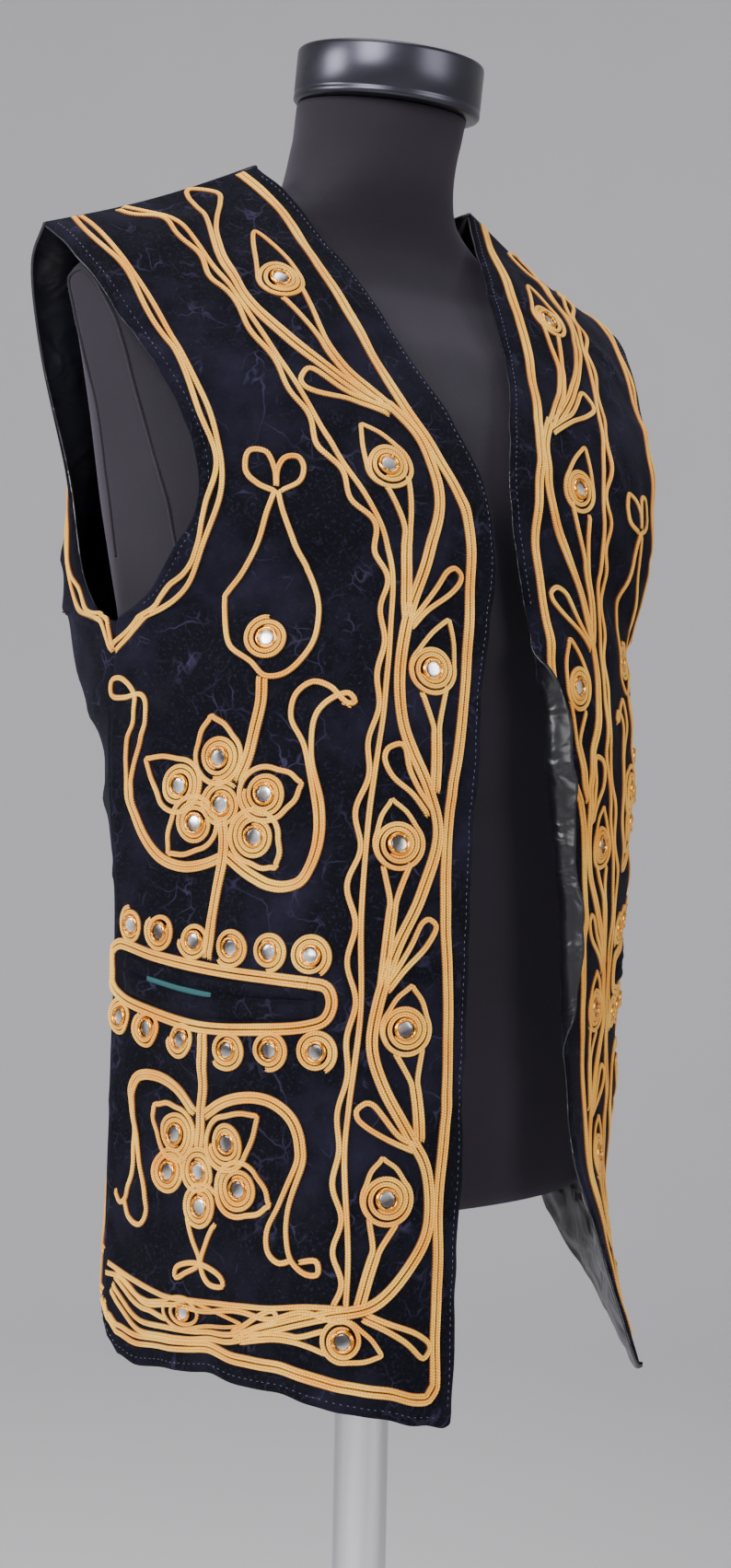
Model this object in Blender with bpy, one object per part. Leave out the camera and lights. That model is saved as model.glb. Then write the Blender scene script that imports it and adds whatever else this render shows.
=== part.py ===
"""Embroidered velvet vest on a limbless dress form. Metres, +Z up, the vest's front faces -Y,
the wearer's right side is -X, and the base stands on z = 0."""

import math

import bmesh
import bpy
import numpy as np
from mathutils import Vector
from mathutils.geometry import delaunay_2d_cdt

for old in list(bpy.data.objects):
    bpy.data.objects.remove(old, do_unlink=True)

# Driving sizes
VELVET = 0.0016
LINING = 0.0010
SEAM_HALF_GAP = 0.0002
LINING_SINK = 0.0050
FRONT_COLUMNS = 13
FRONT_ROWS = 26
BACK_COLUMNS = 20
BACK_ROWS = 20
UNDERARM_SHARE = 0.62
BRAID = 0.0036
BAND = 0.0074
CORD_LIFT = 0.0010
CORD_HIGH = 0.0011
COIL = 0.0120
ROW_COIL = 0.0104
HEM_COIL = 0.0074
WELT_HIGH = 0.0024
VINE_ZONE = 65.0
POLE_RADIUS = 0.015
BASE_RADIUS = 0.160
BASE_HIGH = 0.012
CAP_RADIUS = 0.052
CAP_HIGH = 0.029
CAP_TILT = math.radians(8)
CAP_SEAT = 1.4395

# Right front edge, hem corner to shoulder: x, y, z
EDGE_RIGHT = [
    (-0.074, -0.166, 0.767),
    (-0.070, -0.163, 0.830),
    (-0.065, -0.160, 0.900),
    (-0.058, -0.154, 1.000),
    (-0.042, -0.141, 1.100),
    (-0.031, -0.134, 1.150),
    (-0.022, -0.127, 1.185),
    (-0.0220, -0.117, 1.2195),
    (-0.0290, -0.104, 1.248),
    (-0.0390, -0.085, 1.278),
    (-0.0500, -0.056, 1.320),
    (-0.0590, -0.023, 1.358),
    (-0.0670, 0.000, 1.385),
    (-0.0765, 0.017, 1.401),
]
# Left front edge, hem corner to shoulder: x, y, z
EDGE_LEFT = [
    (0.070, -0.146, 0.767),
    (0.057, -0.131, 0.827),
    (0.046, -0.122, 0.872),
    (0.041, -0.118, 0.922),
    (0.035, -0.117, 1.000),
    (0.026, -0.118, 1.060),
    (0.018, -0.116, 1.123),
    (0.012, -0.113, 1.160),
    (0.008, -0.107, 1.195),
    (0.009, -0.101, 1.236),
    (0.023, -0.085, 1.269),
    (0.033, -0.068, 1.296),
    (0.044, -0.046, 1.327),
    (0.060, -0.013, 1.366),
    (0.0765, 0.017, 1.401),
]
# Side seam, hem to underarm, right side: x, y, z
SEAM_RIGHT = [
    (-0.169, 0.002, 0.785),
    (-0.168, 0.001, 0.850),
    (-0.1675, 0.000, 0.930),
    (-0.1680, -0.002, 1.000),
    (-0.1740, -0.004, 1.080),
    (-0.1745, -0.008, 1.147),
]
SEAM_LEFT = [
    (0.160, 0.032, 0.822),
    (0.161, 0.032, 0.880),
    (0.162, 0.028, 0.940),
    (0.165, 0.020, 1.010),
    (0.170, 0.006, 1.080),
    (0.1745, -0.008, 1.147),
]
# Armhole, front edge, underarm to shoulder tip, as it hangs on each side
ARM_FRONT_RIGHT = [
    (-0.1745, -0.008, 1.147),
    (-0.1700, -0.032, 1.160),
    (-0.1670, -0.048, 1.180),
    (-0.1590, -0.058, 1.208),
    (-0.1640, -0.056, 1.242),
    (-0.1830, -0.032, 1.290),
    (-0.1980, 0.006, 1.338),
    (-0.1990, 0.030, 1.352),
]
ARM_FRONT_LEFT = [
    (0.1745, -0.008, 1.147),
    (0.1640, -0.032, 1.160),
    (0.1570, -0.048, 1.180),
    (0.1545, -0.058, 1.205),
    (0.1580, -0.056, 1.240),
    (0.1710, -0.032, 1.290),
    (0.1900, 0.008, 1.340),
    (0.1930, 0.030, 1.352),
]
# Armhole, back edge, underarm to shoulder tip
ARM_BACK_RIGHT = [
    (-0.1745, -0.008, 1.147),
    (-0.1680, 0.020, 1.153),
    (-0.1640, 0.044, 1.172),
    (-0.1640, 0.062, 1.2265),
    (-0.1790, 0.066, 1.289),
    (-0.1925, 0.054, 1.336),
    (-0.1990, 0.030, 1.352),
]
ARM_BACK_LEFT = [
    (0.1745, -0.008, 1.147),
    (0.1680, 0.020, 1.153),
    (0.1620, 0.044, 1.172),
    (0.1610, 0.062, 1.2265),
    (0.1760, 0.066, 1.289),
    (0.1900, 0.054, 1.336),
    (0.1930, 0.030, 1.352),
]
# Centre back, hem to neck
CENTRE_BACK = [
    (0.0, 0.120, 0.836),
    (0.0, 0.113, 0.920),
    (0.0, 0.108, 1.000),
    (0.0, 0.118, 1.100),
    (0.0, 0.126, 1.200),
    (0.0, 0.118, 1.290),
    (0.0, 0.094, 1.350),
    (0.0, 0.074, 1.380),
]
# Row shape of a front: share of height, heading at the side from straight forward, rise at the
# side, heading at the front edge from straight sideways, rise at the front edge, handle length
FRONT_SHAPE = [
    (0.00, 4.0, 0.00, -6.0, 0.00, 0.42),
    (0.30, 6.0, 0.00, -4.0, 0.00, 0.42),
    (0.55, 6.0, 0.00, -4.0, 0.00, 0.40),
    (0.66, 22.0, 0.04, -6.0, 0.02, 0.38),
    (0.76, 46.0, 0.06, -8.0, 0.06, 0.36),
    (0.88, 62.0, 0.14, -10.0, 0.06, 0.34),
    (1.00, 90.0, 0.40, 0.0, -0.38, 0.33),
]
FRONT_SHAPE_LEFT = [
    (0.00, -6.0, -1.00, 56.0, 0.00, 0.30),
    (0.08, -14.0, -0.55, 48.0, 0.00, 0.32),
    (0.18, -20.0, -0.20, 32.0, 0.00, 0.35),
    (0.35, -15.0, 0.00, 18.0, 0.00, 0.37),
    (0.50, 6.0, 0.00, 8.0, 0.00, 0.36),
    (0.60, 26.0, 0.00, 4.0, 0.00, 0.36),
    (0.68, 32.0, 0.04, 0.0, 0.02, 0.37),
    (0.76, 46.0, 0.06, -4.0, 0.06, 0.36),
    (0.88, 62.0, 0.14, -8.0, 0.06, 0.34),
    (1.00, 90.0, 0.40, 0.0, -0.38, 0.33),
]
# Row shape of the back: share of height, heading at the side from straight back, handle length,
# rise at the right side and at the left (the fronts hang lower than the back, so the hem climbs)
BACK_SHAPE = [
    (0.00, 34.0, 0.46, 1.10, 0.15),
    (0.12, 36.0, 0.46, 0.55, 0.08),
    (0.30, 38.0, 0.46, 0.10, 0.0),
    (0.42, 34.0, 0.46, 0.0, 0.0),
    (0.50, 26.0, 0.46, 0.0, 0.0),
    (0.57, 6.0, 0.46, 0.0, 0.0),
    (0.63, -6.0, 0.46, 0.0, 0.0),
    (0.72, 8.0, 0.44, 0.0, 0.0),
    (0.85, 62.0, 0.38, 0.0, 0.0),
    (1.00, 90.0, 0.33, 0.0, 0.0),
]
# Largest folds of each front: side share, height share at one end, then the other end, half
# width in metres, height in metres
FOLDS_RIGHT = [
    (0.02, 0.40, 0.42, 0.20, 0.024, 0.0026),
    (0.10, 0.22, 0.62, 0.12, 0.024, -0.0022),
    (0.05, 0.55, 0.40, 0.47, 0.022, -0.0018),
    (0.30, 0.62, 0.75, 0.66, 0.022, 0.0016),
    (0.55, 0.80, 0.80, 0.92, 0.022, 0.0014),
]
FOLDS_LEFT = [
    (0.10, 0.30, 0.60, 0.18, 0.024, 0.0022),
    (0.15, 0.14, 0.70, 0.08, 0.024, -0.0018),
    (0.08, 0.52, 0.50, 0.44, 0.022, 0.0016),
    (0.55, 0.78, 0.82, 0.90, 0.022, 0.0014),
]
FOLDS_BACK = [
    (0.05, 0.45, 0.40, 0.25, 0.028, 0.0030),
    (0.30, 0.05, 0.42, 0.35, 0.028, 0.0026),
    (0.70, 0.08, 0.60, 0.38, 0.028, 0.0028),
    (0.95, 0.50, 0.62, 0.30, 0.028, 0.0030),
    (0.18, 0.70, 0.40, 0.80, 0.026, -0.0022),
    (0.82, 0.70, 0.60, 0.80, 0.026, -0.0022),
]
# Laid work. Every position is (from the front edge along the cloth, up the front edge from the
# hem), in millimetres, unless a table says otherwise.
BORDER = [
    (14, 692), (20, 630), (26, 570), (30, 510), (27, 482), (22, 458), (18, 436), (17, 400),
    (15, 370), (14, 320), (17, 280), (16, 230), (13, 180), (14, 130), (15, 90), (13, 50), (13, 10),
]
INNER_LINE = [
    (96, 692), (91, 640), (85, 580), (80, 530), (78, 498), (73, 466), (67, 442), (63, 415),
    (59, 375), (58, 320), (60, 260), (59, 200), (62, 140), (62, 90), (60, 46),
]
HEM_LINE = [(58, 50), (94, 48), (145, 42), (181, 42), (215, 43)]
HEM_BORDER_UP = 12
HEM_LINE_UP = 39
# Armhole line: from the armhole edge along the cloth, share of height
ARM_LINE = [(20, 0.996), (19, 0.93), (17, 0.87), (13, 0.81), (12, 0.765), (13, 0.73), (18, 0.69),
            (25, 0.63), (13, 0.607), (1.5, 0.592)]
ARM_LINE_BACK = [(20, 0.996), (19, 0.93), (17, 0.86), (15, 0.79), (15, 0.72), (18, 0.67),
                 (14, 0.63), (1.5, 0.592)]
# Main vine stem, weaving between border and inner line, then along the hem
VINE = [
    (40, 511), (35, 470), (31, 430), (48, 389), (51, 350), (45, 315), (27, 291), (26, 250),
    (48, 206), (54, 170), (45, 145), (27, 128), (25, 90), (48, 50), (84, 26), (119, 26),
    (150, 33), (185, 29), (208, 25),
]
# Coiled buds: centre, tip, joint with the stem
BUDS = [
    (52.7, 603, 43.5, 642, 40, 511),
    (55.6, 479, 58.6, 508, 48, 389),
    (34.0, 362, 29.6, 386, 27, 291),
    (43.5, 275, 47.0, 298, 48, 206),
    (35.2, 184, 33.6, 205, 27, 128),
    (42.9, 103, 45.2, 123, 48, 50),
    (60.5, 33, 40.6, 29, 84, 26),
    (152.6, 28, 128.0, 31, 185, 29),
]
# Leaf loops: tip, joint
LEAVES = [
    (31.0, 682, 40, 511),
    (75.0, 556, 40, 511),
    (28.5, 412, 48, 389),
    (51.0, 325, 27, 291),
    (26.5, 235, 48, 206),
    (54.0, 146, 27, 128),
    (24.0, 30, 48, 50),
    (92.0, 37, 119, 26),
]
HEART_LOOPS = [
    (114, 500), (126, 514), (120, 526), (112, 518), (114, 500), (108, 514), (100, 514), (101, 503),
    (114, 498),
]
HEART_DROP = [
    (114, 500), (124, 484), (143, 455), (150, 420), (145, 400), (131, 388), (122, 376), (111, 375),
    (98, 388), (100, 409), (111, 434), (117, 480), (114, 500),
]
HEART_ROSE = (125.4, 400)
HEART_STEM = [(126, 393), (124, 372), (127, 350), (140, 337)]
# Six-coil flowers: centre of each coil, tip of its petal (0, 0 where it has none)
FLOWER_UPPER = [
    (137.3, 312.2, 0, 0),
    (143.2, 338.8, 149.1, 363.5),
    (163.6, 327.0, 186.8, 345.4),
    (114.4, 312.7, 95.1, 314.4),
    (152.5, 303.4, 168.8, 286.0),
    (119.1, 292.0, 104.3, 272.3),
]
UPPER_SIDE_TENDRIL = [(136, 285), (154, 280), (171, 285), (186, 297), (196, 325), (200, 356),
                      (196, 380), (203, 393), (211, 389)]
UPPER_FRONT_TENDRIL = [(135, 285), (122, 272), (104, 263), (88, 270), (85, 292), (88, 314),
                       (92, 336), (91, 350), (83, 357), (75, 353)]
UPPER_FRONT_CURL = [(92, 336), (104, 352), (104, 364), (95, 368), (84, 360)]
UPPER_STEM = [(137, 306), (135, 288), (136, 266), (137, 254)]
POCKET_TOP = [(76, 209), (120, 216), (165, 225), (205, 233)]
POCKET_LOW = [(77, 187), (120, 187), (165, 192), (204, 200)]
# Coils of the two pocket rows, by distance from the front edge
POCKET_ROW_UP = (193, 172, 150, 128, 106, 84)
POCKET_ROW_DOWN = (201, 180, 156, 128, 104, 80)
FLOWER_LOWER = [
    (143.9, 108.1, 0, 0),
    (162.3, 127.4, 177.7, 141.6),
    (127.5, 126.0, 109.1, 141.1),
    (166.5, 104.3, 0, 0),
    (119.2, 101.6, 99.9, 98.0),
    (142.2, 86.5, 0, 0),
]
LOWER_SIDE_TENDRIL = [(148, 136), (159, 148), (173, 156), (189, 157), (197, 149), (192, 124),
                      (187, 100), (198, 82), (204, 88)]
LOWER_FRONT_TENDRIL = [(146, 135), (124, 148), (108, 151), (95, 144), (86, 131), (86, 114),
                       (91, 100), (99, 88), (101, 76), (94, 68), (84, 68), (76, 71)]
LOWER_STEM = [(141, 160), (147, 138), (145, 118)]
LOWER_FEET = [(142, 86), (143, 66), (141, 56), (151, 52), (142, 58), (129, 55)]
# Dress form sections: z, half width, depth to the front, depth to the back, centre y, squareness
TORSO = [
    (0.843, 0.143, 0.085, 0.076, 0.000, 2.0),
    (0.847, 0.147, 0.089, 0.080, 0.000, 2.0),
    (0.900, 0.146, 0.090, 0.078, 0.000, 2.0),
    (1.000, 0.142, 0.093, 0.076, 0.002, 2.0),
    (1.080, 0.147, 0.100, 0.084, 0.004, 2.0),
    (1.150, 0.155, 0.104, 0.092, 0.005, 2.0),
    (1.210, 0.165, 0.098, 0.096, 0.006, 2.1),
    (1.260, 0.174, 0.084, 0.088, 0.008, 2.1),
    (1.300, 0.184, 0.066, 0.066, 0.012, 2.1),
    (1.326, 0.190, 0.045, 0.048, 0.018, 2.0),
    (1.340, 0.172, 0.034, 0.036, 0.022, 2.0),
    (1.352, 0.140, 0.029, 0.029, 0.022, 2.0),
    (1.362, 0.110, 0.026, 0.029, 0.021, 2.0),
    (1.372, 0.080, 0.028, 0.031, 0.019, 2.0),
    (1.384, 0.060, 0.035, 0.037, 0.017, 2.0),
    (1.394, 0.053, 0.043, 0.042, 0.016, 2.0),
    (1.406, 0.049, 0.047, 0.046, 0.014, 2.0),
    (1.420, 0.048, 0.048, 0.047, 0.010, 2.0),
    (1.432, 0.048, 0.048, 0.048, 0.004, 2.0),
]
TORSO_AROUND = 24
# Arm plate plane, right side: outermost x at mid height, lean with z, lean with y, mid height
PLATE = (-0.168, -0.19, -0.15, 1.250)


def unit(v):
    return v / np.maximum(np.linalg.norm(v, axis=-1, keepdims=True), 1e-12)


def smooth_curve(points, count=240):
    """Centripetal curve through the points, resampled evenly by length."""
    p = np.array(points, float)
    p = np.vstack([2 * p[0] - p[1], p, 2 * p[-1] - p[-2]])
    out = []
    for k in range(1, len(p) - 2):
        a, b, c, d = p[k - 1], p[k], p[k + 1], p[k + 2]
        t0 = 0.0
        t1 = t0 + np.linalg.norm(b - a) ** 0.5
        t2 = t1 + np.linalg.norm(c - b) ** 0.5
        t3 = t2 + np.linalg.norm(d - c) ** 0.5
        t = np.linspace(t1, t2, 24, endpoint=False)[:, None]
        a1 = (t1 - t) / (t1 - t0) * a + (t - t0) / (t1 - t0) * b
        a2 = (t2 - t) / (t2 - t1) * b + (t - t1) / (t2 - t1) * c
        a3 = (t3 - t) / (t3 - t2) * c + (t - t2) / (t3 - t2) * d
        b1 = (t2 - t) / (t2 - t0) * a1 + (t - t0) / (t2 - t0) * a2
        b2 = (t3 - t) / (t3 - t1) * a2 + (t - t1) / (t3 - t1) * a3
        out.append((t2 - t) / (t2 - t1) * b1 + (t - t1) / (t2 - t1) * b2)
    out.append(p[-2][None, :])
    dense = np.vstack(out)
    run = np.concatenate([[0], np.cumsum(np.linalg.norm(np.diff(dense, axis=0), axis=1))])
    even = np.linspace(0, run[-1], count)
    return np.stack([np.interp(even, run, dense[:, k]) for k in range(3)], axis=1)


def along(curve, share):
    x = np.asarray(share, float) * (len(curve) - 1)
    return np.stack([np.interp(x, np.arange(len(curve)), curve[:, k]) for k in range(3)], axis=-1)


def joined(lower, upper, share):
    """Side seam and armhole as one edge, the underarm at the given share of height."""
    low = along(smooth_curve(lower), np.linspace(0, 1, 121))
    high = along(smooth_curve(upper), np.linspace(0, 1, 121))
    t_low = np.linspace(0, share, 121)
    t_high = np.linspace(share, 1, 121)[1:]
    t = np.concatenate([t_low, t_high])
    p = np.vstack([low, high[1:]])
    even = np.linspace(0, 1, 241)
    return np.stack([np.interp(even, t, p[:, k]) for k in range(3)], axis=1)


def column(table, k, t):
    rows = np.array(table, float)
    x = np.interp(t, rows[:, 0], np.arange(len(rows)))
    low = np.clip(np.floor(x).astype(int), 0, len(rows) - 2)
    f = x - low
    f = f * f * (3 - 2 * f) * 0.5 + f * 0.5
    return rows[low, k] * (1 - f) + rows[low + 1, k] * f


def bezier(a, b, c, d, s):
    s = s[..., None]
    r = 1 - s
    return r**3 * a + 3 * r * r * s * b + 3 * r * s * s * c + s**3 * d


def shoulder(side, u):
    """Shoulder seam: u 0 at the tip, 1 at the neck; a slight sag in the middle."""
    tip = np.array(ARM_FRONT_RIGHT[-1] if side < 0 else ARM_FRONT_LEFT[-1])
    neck = np.array(EDGE_RIGHT[-1] if side < 0 else EDGE_LEFT[-1])
    u = np.asarray(u, float)[..., None]
    line = tip + (neck - tip) * u
    sag = np.array([0, 0, -0.003]) * np.sin(math.pi * u)
    return line + sag


def fold_height(folds, s, t, wide, high):
    """Sum of long soft ridges; each is a bell across and fades at both ends."""
    total = np.zeros(np.broadcast(s, t).shape)
    for s0, t0, s1, t1, half, height in folds:
        ax, ay = s0 * wide, t0 * high
        bx, by = s1 * wide, t1 * high
        length = math.hypot(bx - ax, by - ay)
        ux, uy = (bx - ax) / length, (by - ay) / length
        px, py = s * wide - ax, t * high - ay
        on = (px * ux + py * uy) / length
        off = (-px * uy + py * ux) / half
        fade = np.clip(on + 0.15, 0, 1) * np.clip(1.15 - on, 0, 1) * 3.2
        total = total + height * np.exp(-off * off) * np.clip(fade, 0, 1)
    return total


class Front:
    """A front panel. s runs from the side edge (0) to the front edge (1), t from hem to shoulder."""

    def __init__(self, side, seam, edge, shape, folds):
        self.side = side
        self.outer = joined(seam, ARM_FRONT_RIGHT if side < 0 else ARM_FRONT_LEFT, UNDERARM_SHARE)
        self.inner = smooth_curve(edge, 241)
        self.shape = shape
        self.folds = folds
        self.wide = 0.20
        self.high = 0.64

    def base(self, s, t):
        s, t = np.broadcast_arrays(np.asarray(s, float), np.asarray(t, float))
        a = along(self.outer, t)
        b = along(self.inner, t)
        head_a = np.radians(column(self.shape, 1, t))
        head_b = np.radians(column(self.shape, 3, t))
        rise_a = column(self.shape, 2, t)
        rise_b = column(self.shape, 4, t)
        handle = column(self.shape, 5, t) * np.linalg.norm(b - a, axis=-1)
        inward = -self.side
        da = np.stack([inward * np.sin(head_a), -np.cos(head_a), rise_a], axis=-1)
        db = np.stack([-inward * np.cos(head_b), np.sin(head_b), rise_b], axis=-1)
        p = bezier(a, a + da * handle[..., None], b + db * handle[..., None], b, s)
        top = np.clip((t - 0.80) / 0.20, 0, 1)
        top = top * top * (3 - 2 * top)
        one = np.ones_like(t)
        ends = bezier_row(self, s, one)
        target = shoulder(self.side, s)
        return p + top[..., None] * (target - ends)

    def point(self, s, t):
        s, t = np.broadcast_arrays(np.asarray(s, float), np.asarray(t, float))
        h = fold_height(self.folds, s, t, self.wide, self.high)
        edge = np.clip(s / 0.06, 0, 1) * np.clip((1 - s) / 0.06, 0, 1) * np.clip((1 - t) / 0.06, 0, 1)
        n = base_normal(self, s, t)
        return self.base(s, t) + n * (h * edge)[..., None]


def bezier_row(panel, s, t):
    """The plain row curve of a front, before its top is drawn to the shoulder seam."""
    a = along(panel.outer, t)
    b = along(panel.inner, t)
    head_a = np.radians(column(panel.shape, 1, t))
    head_b = np.radians(column(panel.shape, 3, t))
    rise_a = column(panel.shape, 2, t)
    rise_b = column(panel.shape, 4, t)
    handle = column(panel.shape, 5, t) * np.linalg.norm(b - a, axis=-1)
    inward = -panel.side
    da = np.stack([inward * np.sin(head_a), -np.cos(head_a), rise_a], axis=-1)
    db = np.stack([-inward * np.cos(head_b), np.sin(head_b), rise_b], axis=-1)
    return bezier(a, a + da * handle[..., None], b + db * handle[..., None], b, s)


class Back:
    """The back panel. s runs from the right side edge (0) over the centre (0.5) to the left (1)."""

    def __init__(self, folds):
        self.right = joined(SEAM_RIGHT, ARM_BACK_RIGHT, UNDERARM_SHARE)
        self.left = joined(SEAM_LEFT, ARM_BACK_LEFT, UNDERARM_SHARE)
        self.centre = smooth_curve(CENTRE_BACK, 241)
        self.folds = folds
        self.wide = 0.42
        self.high = 0.62

    def half(self, side, u, t):
        """u runs from the side edge (0) to the centre back (1)."""
        outer = self.right if side < 0 else self.left
        a = along(outer, t)
        b = along(self.centre, t)
        head = np.radians(column(BACK_SHAPE, 1, t))
        handle = column(BACK_SHAPE, 2, t) * np.linalg.norm(b - a, axis=-1)
        rise = column(BACK_SHAPE, 3 if side < 0 else 4, t)
        da = np.stack([-side * np.sin(head), np.cos(head), rise], axis=-1)
        db = np.stack([side + 0 * head, 0 * head, 0 * head], axis=-1)
        return bezier(a, a + da * handle[..., None], b + db * handle[..., None], b, u)

    def top(self, side, u):
        """Shoulder seam to the neck point, then the back neckline to the centre."""
        split = 0.60
        seam = shoulder(side, np.clip(u / split, 0, 1))
        neck = np.array(EDGE_RIGHT[-1]) * np.array([-side, 1, 1])
        low = np.array(CENTRE_BACK[-1])
        mid = np.array([side * 0.050, 0.066, 1.384])
        v = np.clip((u - split) / (1 - split), 0, 1)[..., None]
        line = (1 - v) ** 2 * neck + 2 * v * (1 - v) * mid + v * v * low
        return np.where((u < split)[..., None], seam, line)

    def base(self, s, t):
        s, t = np.broadcast_arrays(np.asarray(s, float), np.asarray(t, float))
        out = np.zeros(s.shape + (3,))
        for side in (-1, 1):
            pick = s <= 0.5 if side < 0 else s > 0.5
            u = s[pick] * 2 if side < 0 else (1 - s[pick]) * 2
            tt = t[pick]
            p = self.half(side, u, tt)
            w = np.clip((tt - 0.72) / 0.28, 0, 1)
            w = w * w * (3 - 2 * w)
            gap = self.top(side, u) - self.half(side, u, np.ones_like(tt))
            out[pick] = p + w[:, None] * gap
        return out

    def point(self, s, t):
        s, t = np.broadcast_arrays(np.asarray(s, float), np.asarray(t, float))
        h = fold_height(self.folds, s, t, self.wide, self.high)
        edge = np.clip(s / 0.05, 0, 1) * np.clip((1 - s) / 0.05, 0, 1) * np.clip((1 - t) / 0.06, 0, 1)
        n = base_normal(self, s, t)
        return self.base(s, t) + n * (h * edge)[..., None]


def base_normal(panel, s, t, func=None):
    """Outward normal by small steps along s and t."""
    f = func or panel.base
    e = 0.004
    ds = f(np.clip(s + e, 0, 1), t) - f(np.clip(s - e, 0, 1), t)
    dt = f(s, np.clip(t + e, 0, 1)) - f(s, np.clip(t - e, 0, 1))
    n = unit(np.cross(ds, dt))
    turn = 1.0
    if isinstance(panel, Front):
        turn = -float(panel.side)
    else:
        turn = -1.0
    return n * turn


def grid_of(panel, columns, rows, func):
    s = np.linspace(0, 1, columns + 1)[:, None] * np.ones((1, rows + 1))
    t = np.linspace(0, 1, rows + 1)[None, :] * np.ones((columns + 1, 1))
    p = func(s, t)
    n = base_normal(panel, s, t, func)
    return p, n


def seam_mitre(panel, p, n, rows):
    """Turn the thickness at side and shoulder seams into the plane between the two panels,
    and draw each panel back from the seam by half the gap."""
    under = int(round(UNDERARM_SHARE * rows))
    front = isinstance(panel, Front)
    back_step = -SEAM_HALF_GAP if front else SEAM_HALF_GAP
    edges = [(0, -1.0)] if front and panel.side < 0 else [(0, 1.0)]
    if not front:
        edges = [(0, -1.0), (-1, 1.0)]
    for index, out in edges:
        n[index, : under + 1] = (out, 0.0, 0.0)
        p[index, : under + 1, 1] += back_step
        fade = np.linspace(1, 0, 4)[1:]
        for k, f in enumerate(fade):
            j = under + 1 + k
            mix = np.array([out, 0, 0]) * f + n[index, j] * (1 - f)
            n[index, j] = mix / np.linalg.norm(mix)
    last = len(p)
    picks = range(last)
    if not front:
        mid = 0.30 * (last - 1)
        picks = [i for i in range(last) if i <= mid + 0.01 or i >= last - 1 - mid - 0.01]
    for i in picks:
        n[i, -1] = unit(np.array([0.25 * n[i, -2][0], 0.0, 1.0]))
        p[i, -1, 1] += back_step
    return p, n


def mesh_object(name, verts, faces, colour, rough):
    mesh = bpy.data.meshes.new(name)
    mesh.from_pydata([tuple(v) for v in verts], [], faces)
    mesh.validate()
    bm = bmesh.new()
    bm.from_mesh(mesh)
    bmesh.ops.recalc_face_normals(bm, faces=bm.faces)
    bm.to_mesh(mesh)
    bm.free()
    material = bpy.data.materials.new(name)
    material.use_nodes = True
    shader = material.node_tree.nodes["Principled BSDF"]
    shader.inputs["Base Color"].default_value = (*colour, 1)
    shader.inputs["Roughness"].default_value = rough
    mesh.materials.append(material)
    obj = bpy.data.objects.new(name, mesh)
    bpy.context.scene.collection.objects.link(obj)
    return obj


def shell(name, outer, inner, colour, rough):
    """Closed body between two grids of the same size, triangles split the same way on both."""
    ni, nj = outer.shape[:2]
    verts = np.vstack([outer.reshape(-1, 3), inner.reshape(-1, 3)])
    off = ni * nj
    faces = []
    for i in range(ni - 1):
        for j in range(nj - 1):
            a, b = i * nj + j, (i + 1) * nj + j
            c, d = (i + 1) * nj + j + 1, i * nj + j + 1
            faces += [(a, b, c), (a, c, d)]
            faces += [(a + off, c + off, b + off), (a + off, d + off, c + off)]
    ring = [(i, 0) for i in range(ni)] + [(ni - 1, j) for j in range(1, nj)]
    ring += [(i, nj - 1) for i in range(ni - 2, -1, -1)] + [(0, j) for j in range(nj - 2, 0, -1)]
    for k in range(len(ring)):
        a = ring[k][0] * nj + ring[k][1]
        q = ring[(k + 1) % len(ring)]
        b = q[0] * nj + q[1]
        faces += [(a, a + off, b + off), (a, b + off, b)]
    return mesh_object(name, verts, faces, colour, rough)


def velvet_piece(name, panel, columns, rows):
    p, n = grid_of(panel, columns, rows, panel.point)
    p, n = seam_mitre(panel, p, n, rows)
    panel.velvet = p
    shell(name, p, p - n * VELVET, (0.012, 0.012, 0.035), 0.9)


def lining_piece(name, panel, columns, rows):
    p, n = grid_of(panel, columns, rows, panel.base)
    p, n = seam_mitre(panel, p, n, rows)
    sink = np.full(p.shape[:2], LINING_SINK if isinstance(panel, Front) else LINING_SINK * 1.5)
    sink[:, -1] = VELVET + 0.0018
    sink[:, -2] = 0.0058
    outer = p - n * sink[..., None]
    shell(name, outer, outer - n * LINING, (0.02, 0.02, 0.026), 0.4)


def torso_ring(z, half, front, back, cy, power):
    a = np.arange(TORSO_AROUND) * 2 * math.pi / TORSO_AROUND
    c, s = np.cos(a), np.sin(a)
    x = half * np.sign(c) * np.abs(c) ** (2 / power)
    depth = np.where(s < 0, front, back)
    y = cy + depth * np.sign(s) * np.abs(s) ** (2 / power)
    ring = np.stack([x, y, np.full_like(x, z)], axis=1)
    for k in range(len(ring)):
        px, py, pz = ring[k]
        if 1.145 < pz < 1.365:
            limit = -(PLATE[0] + PLATE[1] * (pz - PLATE[3]) + PLATE[2] * py)
            if abs(px) > limit:
                ring[k, 0] = math.copysign(limit, px)
    return ring


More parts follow.
